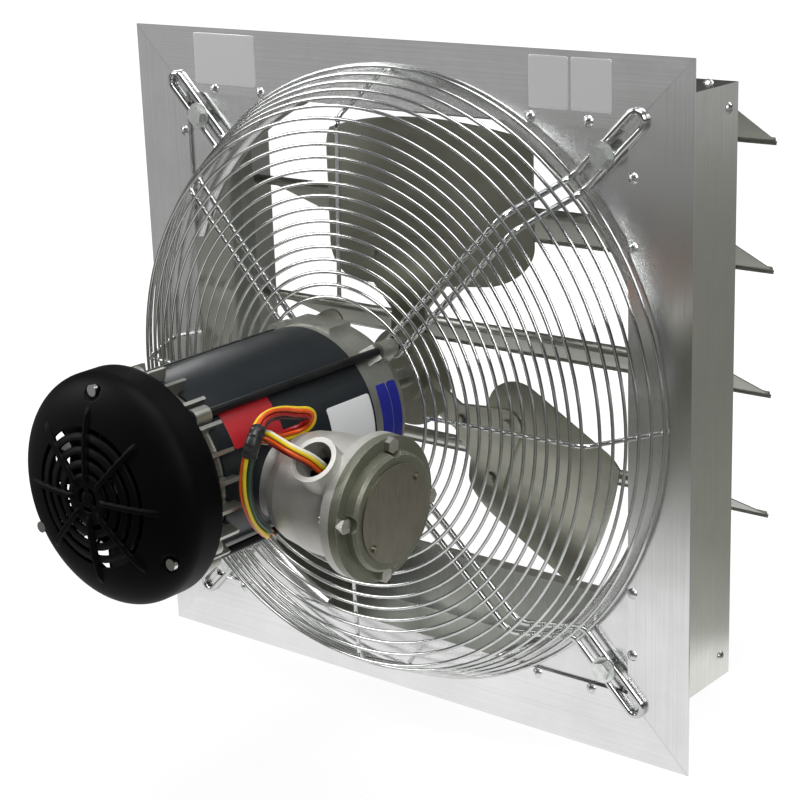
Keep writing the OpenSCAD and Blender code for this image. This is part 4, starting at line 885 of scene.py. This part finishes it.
def film_grid(half_u, half_v):
    """Rings of a rounded rectangle. The outline is a rectangle shrunk by the corner radius, plus
    a circle of that radius: its point is the nearest corner's centre plus the circle's point."""
    t = np.linspace(0, 2 * np.pi, FILM_POINTS, endpoint=False) + np.pi / FILM_POINTS
    c, s = np.cos(t), np.sin(t)
    reach = 1 / np.maximum(np.abs(c) / half_u, np.abs(s) / half_v)
    u, v = c * reach, s * reach
    near_u = np.clip(u, CORNER - half_u, half_u - CORNER)
    near_v = np.clip(v, CORNER - half_v, half_v - CORNER)
    in_corner = (near_u != u) & (near_v != v)
    over = np.where(in_corner, np.hypot(u - near_u, v - near_v), CORNER)
    u, v = near_u + (u - near_u) * CORNER / over, near_v + (v - near_v) * CORNER / over
    share = np.append(np.linspace(FIRST_RING, LAST_FLAT_RING, FILM_RINGS), [1.0, 1.0])[:, None]
    lift = np.append(np.full(FILM_RINGS, FILM), [FILM * RIM_SHARE, -RIM_SINK])[:, None]
    return share * u, share * v, np.broadcast_to(lift, (len(lift), FILM_POINTS))


print("a sticker has", FILM_RINGS + 2, "rings of", FILM_POINTS, "points")


# %% Lay one on the metal
def make_sticker(title, lay, half_u, half_v, film):
    """The rings and a middle point, laid by lay(u, v, height), become a piece with that film."""
    points = lay(*film_grid(half_u, half_v)).reshape(-1, 3)
    centre = lay(np.zeros(1), np.zeros(1), np.full(1, FILM)).reshape(1, 3)
    cells = grid_faces(FILM_RINGS + 2, FILM_POINTS, wrap_columns=True)[:, ::-1]
    middle = cap_faces(np.arange(FILM_POINTS), len(points))
    piece = make_piece(title, np.vstack([points, centre]), np.vstack([cells, middle]),
                       SLOT_OF_FILM[film])
    piece.data.materials.append(finishes[film])


def on_flange(x, z):
    """The flange's front is the plane y = -1.6 mm; u runs right and v up."""
    return lambda u, v, h: np.stack([x + u, -SHEET_T * MM - h, z + v], axis=-1)


def on_motor(degrees, y):
    """Round the motor: u runs along the axis and v is the distance round the shell."""
    def lay(u, v, h):
        turn = math.radians(degrees) + v / (SHELL_R * MM)
        radius = SHELL_R * MM + h
        return np.stack([radius * np.cos(turn), y + u, radius * np.sin(turn)], axis=-1)
    return lay


print("stickers lie on the plane of the flange and round the motor")

# %% Sticker finishes
FILM_LOOK = dict(scale=600.0, bump=3 * MICRON, spread_by=0.02)
satin_finish("film_white", (0.72, 0.725, 0.735), (0.73, 0.735, 0.745), 0.30, **FILM_LOOK)
satin_finish("film_silver", (0.74, 0.74, 0.75), (0.75, 0.75, 0.76), 0.30, Metallic=0.4,
             **FILM_LOOK)
satin_finish("film_red", (0.48, 0.018, 0.026), (0.52, 0.022, 0.030), 0.32, **FILM_LOOK)
satin_finish("film_blue", (0.012, 0.016, 0.24), (0.014, 0.019, 0.27), 0.28, **FILM_LOOK)
SLOT_OF_FILM = {"film_white": "shell_paint", "film_silver": "flange_sheet",
                "film_red": "shell_paint", "film_blue": "motor_casting"}
print("sticker finishes ready")

# %% Lay the stickers
STICKERS = [
    ("sticker_flange_left", on_flange(-0.1665, 0.239), 33, 20.5, "film_silver"),
    ("sticker_flange_right_1", on_flange(0.1455, 0.2405), 16.8, 18.8, "film_silver"),
    ("sticker_flange_right_2", on_flange(0.1815, 0.2405), 16.8, 18.8, "film_silver"),
    ("sticker_shell_white", on_motor(7, -0.1335), 23, 20, "film_white"),
    ("sticker_shell_red", on_motor(33, -0.2265), 24, 14, "film_red"),
    ("sticker_bell_blue_1", on_motor(0, -0.0955), 5.7, 31, "film_blue"),
    ("sticker_bell_blue_2", on_motor(0, -0.0842), 4.9, 31, "film_blue"),
]
for title, lay, half_u, half_v, film in STICKERS:
    make_sticker(title, lay, half_u * MM, half_v * MM, film)
print("stickers:", len(STICKERS))

# %% [markdown]
# ## The room
# The fan stands on a wide, plain, pale floor. Chrome and mill-finish aluminium only look like
# metal when there is something to reflect, so they need a bright place and a dark one. The floor
# is white to the camera, with a painted contact shadow where its glow dims near the middle. To
# every other ray it glows with painted light, a lit table that falls off into a dim room:
# polished metal shows that edge as a long soft gradient.

# %% Floor
FLOOR_GAP = 0.5 * MM
FLOOR_Z = CAD_BOX[0][2] - FLOOR_GAP
FLOOR_RINGS, FLOOR_SIDES, FLOOR_R, FLOOR_HUB = 12, 48, 30, 0.01
floor_r = np.linspace(0, FLOOR_R, FLOOR_RINGS) + FLOOR_HUB
floor_turn = np.linspace(0, 2 * np.pi, FLOOR_SIDES, endpoint=False)
floor_points = np.stack([np.outer(floor_r, np.cos(floor_turn)),
                         np.outer(floor_r, np.sin(floor_turn)),
                         np.full((FLOOR_RINGS, FLOOR_SIDES), FLOOR_Z)], axis=-1)
floor_faces = grid_faces(FLOOR_RINGS, FLOOR_SIDES, wrap_columns=True)[:, ::-1]
hub_cap = tuple(range(FLOOR_SIDES))
floor_mesh = bpy.data.meshes.new("floor")
floor_mesh.from_pydata(floor_points.reshape(-1, 3).tolist(), [], floor_faces.tolist() + [hub_cap])
add_object("floor", floor_mesh)
print("floor at", round(FLOOR_Z, 4))


# %% The painted light the floor glows with to a reflection, by the distance from its middle
def ramp(tree, value, stops):
    """A colour for each place from 0 to 1, blended between the stops."""
    node = place_node(tree, "ValToRGB", {0: value})
    elements = node.color_ramp.elements
    while len(elements) < len(stops):
        elements.new(0.5)
    for element, (at, colour) in zip(elements, stops):
        element.position, element.color = at, (*colour, 1)
    return node


# Painted light: the floor glows with these colours to reflections, a lit table and a dim room
FAR_PAINTED_LIGHT = grey(0.42)
TABLE_PAINTED_LIGHT = [
    (0.00, grey(0.95)), (0.07, grey(0.90)), (0.10, (0.62, 0.62, 0.61)),
    (0.135, (0.20, 0.20, 0.175)), (0.18, (0.10, 0.10, 0.085)), (0.32, (0.11, 0.11, 0.095)),
    (0.50, (0.18, 0.18, 0.165)), (0.75, grey(0.34)), (1.00, FAR_PAINTED_LIGHT)]
RIGHT_PAINTED_LIGHT = [
    (0.00, grey(0.95)), (0.088, grey(0.88)), (0.098, (0.40, 0.40, 0.38)),
    (0.15, (0.25, 0.25, 0.23)), (0.24, (0.20, 0.20, 0.185)), (0.55, (0.20, 0.20, 0.185)),
    (0.75, grey(0.34)), (1.00, FAR_PAINTED_LIGHT)]
print("tones of the table:", len(TABLE_PAINTED_LIGHT), "and", len(RIGHT_PAINTED_LIGHT))

# %% Floor paint: white with a painted shadow to look at, a painted lit table to reflect
TABLE_REACH = 4.0
RIGHT_TURN, LEFT_TURN = (0.2, 0.5), (-0.80, -0.45)
LIT_FROM, SHADOW_GLOW_FROM, SHADOW_GLOW_NEAR = (0.6, 1.8), (0.25, 0.85), 0.88
WHITE, MATTE = grey(1.0), grey(0.17)
floor_paint = bpy.data.materials.new("floor_paint")
paint = empty_tree(floor_paint)
floor_at = place_node(paint, "TexCoord", {}).outputs["Object"]
floor_way = place_node(paint, "VectorMath", {0: floor_at, 1: (1, 1, 0)}, operation="MULTIPLY")
away = place_node(paint, "VectorMath", {0: floor_way}, operation="LENGTH")
away = away.outputs["Value"]
split = place_node(paint, "SeparateXYZ", {0: floor_at}).outputs
along = spread(paint, away, 0.0, TABLE_REACH)
turned = sums(paint, "DIVIDE", split["X"], away)
tone = blend(paint, spread(paint, turned, *RIGHT_TURN), ramp(paint, along, TABLE_PAINTED_LIGHT),
             ramp(paint, along, RIGHT_PAINTED_LIGHT))
sideways = spread(paint, turned, *LEFT_TURN, 1.0, 0.0)
# A painted lit side: far off on the left the floor glows brighter
painted_lit_side = sums(paint, "MULTIPLY", sideways, spread(paint, away, *LIT_FROM))
tone = blend(paint, painted_lit_side, tone, FAR_PAINTED_LIGHT)
# The floor glows with the painted light; it is no lamp
painted_table_glow = place_node(paint, "Emission", {"Color": tone, "Strength": 1.0})
# Painted contact shadow: the white glow is dimmer near the middle
painted_shadow_glow = spread(paint, away, *SHADOW_GLOW_FROM, SHADOW_GLOW_NEAR, 1.0)
white = place_node(paint, "Emission", {"Color": WHITE, "Strength": painted_shadow_glow})
matte = place_node(paint, "BsdfDiffuse", {"Color": MATTE})
looked_at = place_node(paint, "AddShader", {0: white, 1: matte})
print("floor paint:", len(paint.nodes), "nodes before the camera's choice")


# %% One look for the camera and another for every other ray
def camera_sees(tree, seen, reflected):
    """The shader seen where a ray comes straight from the camera, else the reflected one."""
    ray = place_node(tree, "LightPath", {}).outputs["Is Camera Ray"]
    return place_node(tree, "MixShader", {0: ray, 1: reflected, 2: seen})


place_node(paint, "OutputMaterial", {"Surface": camera_sees(paint, looked_at, painted_table_glow)})
floor_mesh.materials.append(floor_paint)
print("floor paint:", len(paint.nodes), "nodes")

# %% Soft lights
AIM = Vector((0.05, -0.10, 0.0))


def soft_panel(title, place, width, height, power):
    """A rectangular area light at that place, in metres and watts, turned towards AIM."""
    data = bpy.data.lights.new(title, "AREA")
    data.shape = "RECTANGLE"
    data.size, data.size_y, data.energy = width, height, power
    panel = add_object(title, data)
    panel.location = place
    panel.rotation_euler = (AIM - Vector(place)).to_track_quat("-Z", "Y").to_euler()


soft_panel("panel_left", (-1.9, -1.3, 1.3), 0.9, 1.5, 30)
soft_panel("panel_right", (2.1, -1.3, 1.4), 0.7, 1.3, 22)
soft_panel("panel_top", (0.2, -0.5, 2.2), 1.5, 1.1, 30)
soft_panel("panel_back", (0.6, 1.9, 1.4), 1.6, 1.0, 16)

# %% The dim room, with a white backdrop for the camera alone
ROOM_TONES = [(0.0, grey(0.09)), (0.18, (0.05, 0.05, 0.048)), (0.5, (0.095, 0.098, 0.10)),
              (1.0, (0.50, 0.51, 0.53))]
world = bpy.data.worlds.new("sky")
bpy.context.scene.world = world
sky = empty_tree(world)
direction = place_node(sky, "TexCoord", {}).outputs["Generated"]
climb = place_node(sky, "SeparateXYZ", {0: direction}).outputs["Z"]
shade = ramp(sky, spread(sky, climb, 0.0, 1.0), ROOM_TONES)
dim_room = place_node(sky, "Background", {"Color": shade, "Strength": 1.0})
backdrop = place_node(sky, "Background", {"Color": WHITE, "Strength": 1.0})
place_node(sky, "OutputWorld", {"Surface": camera_sees(sky, backdrop, dim_room)})
bpy.context.scene.view_settings.view_transform = "Standard"
print("sky:", len(sky.nodes), "nodes")

# %% Print the construction model's box
print("CAD box:", CAD_BOX)
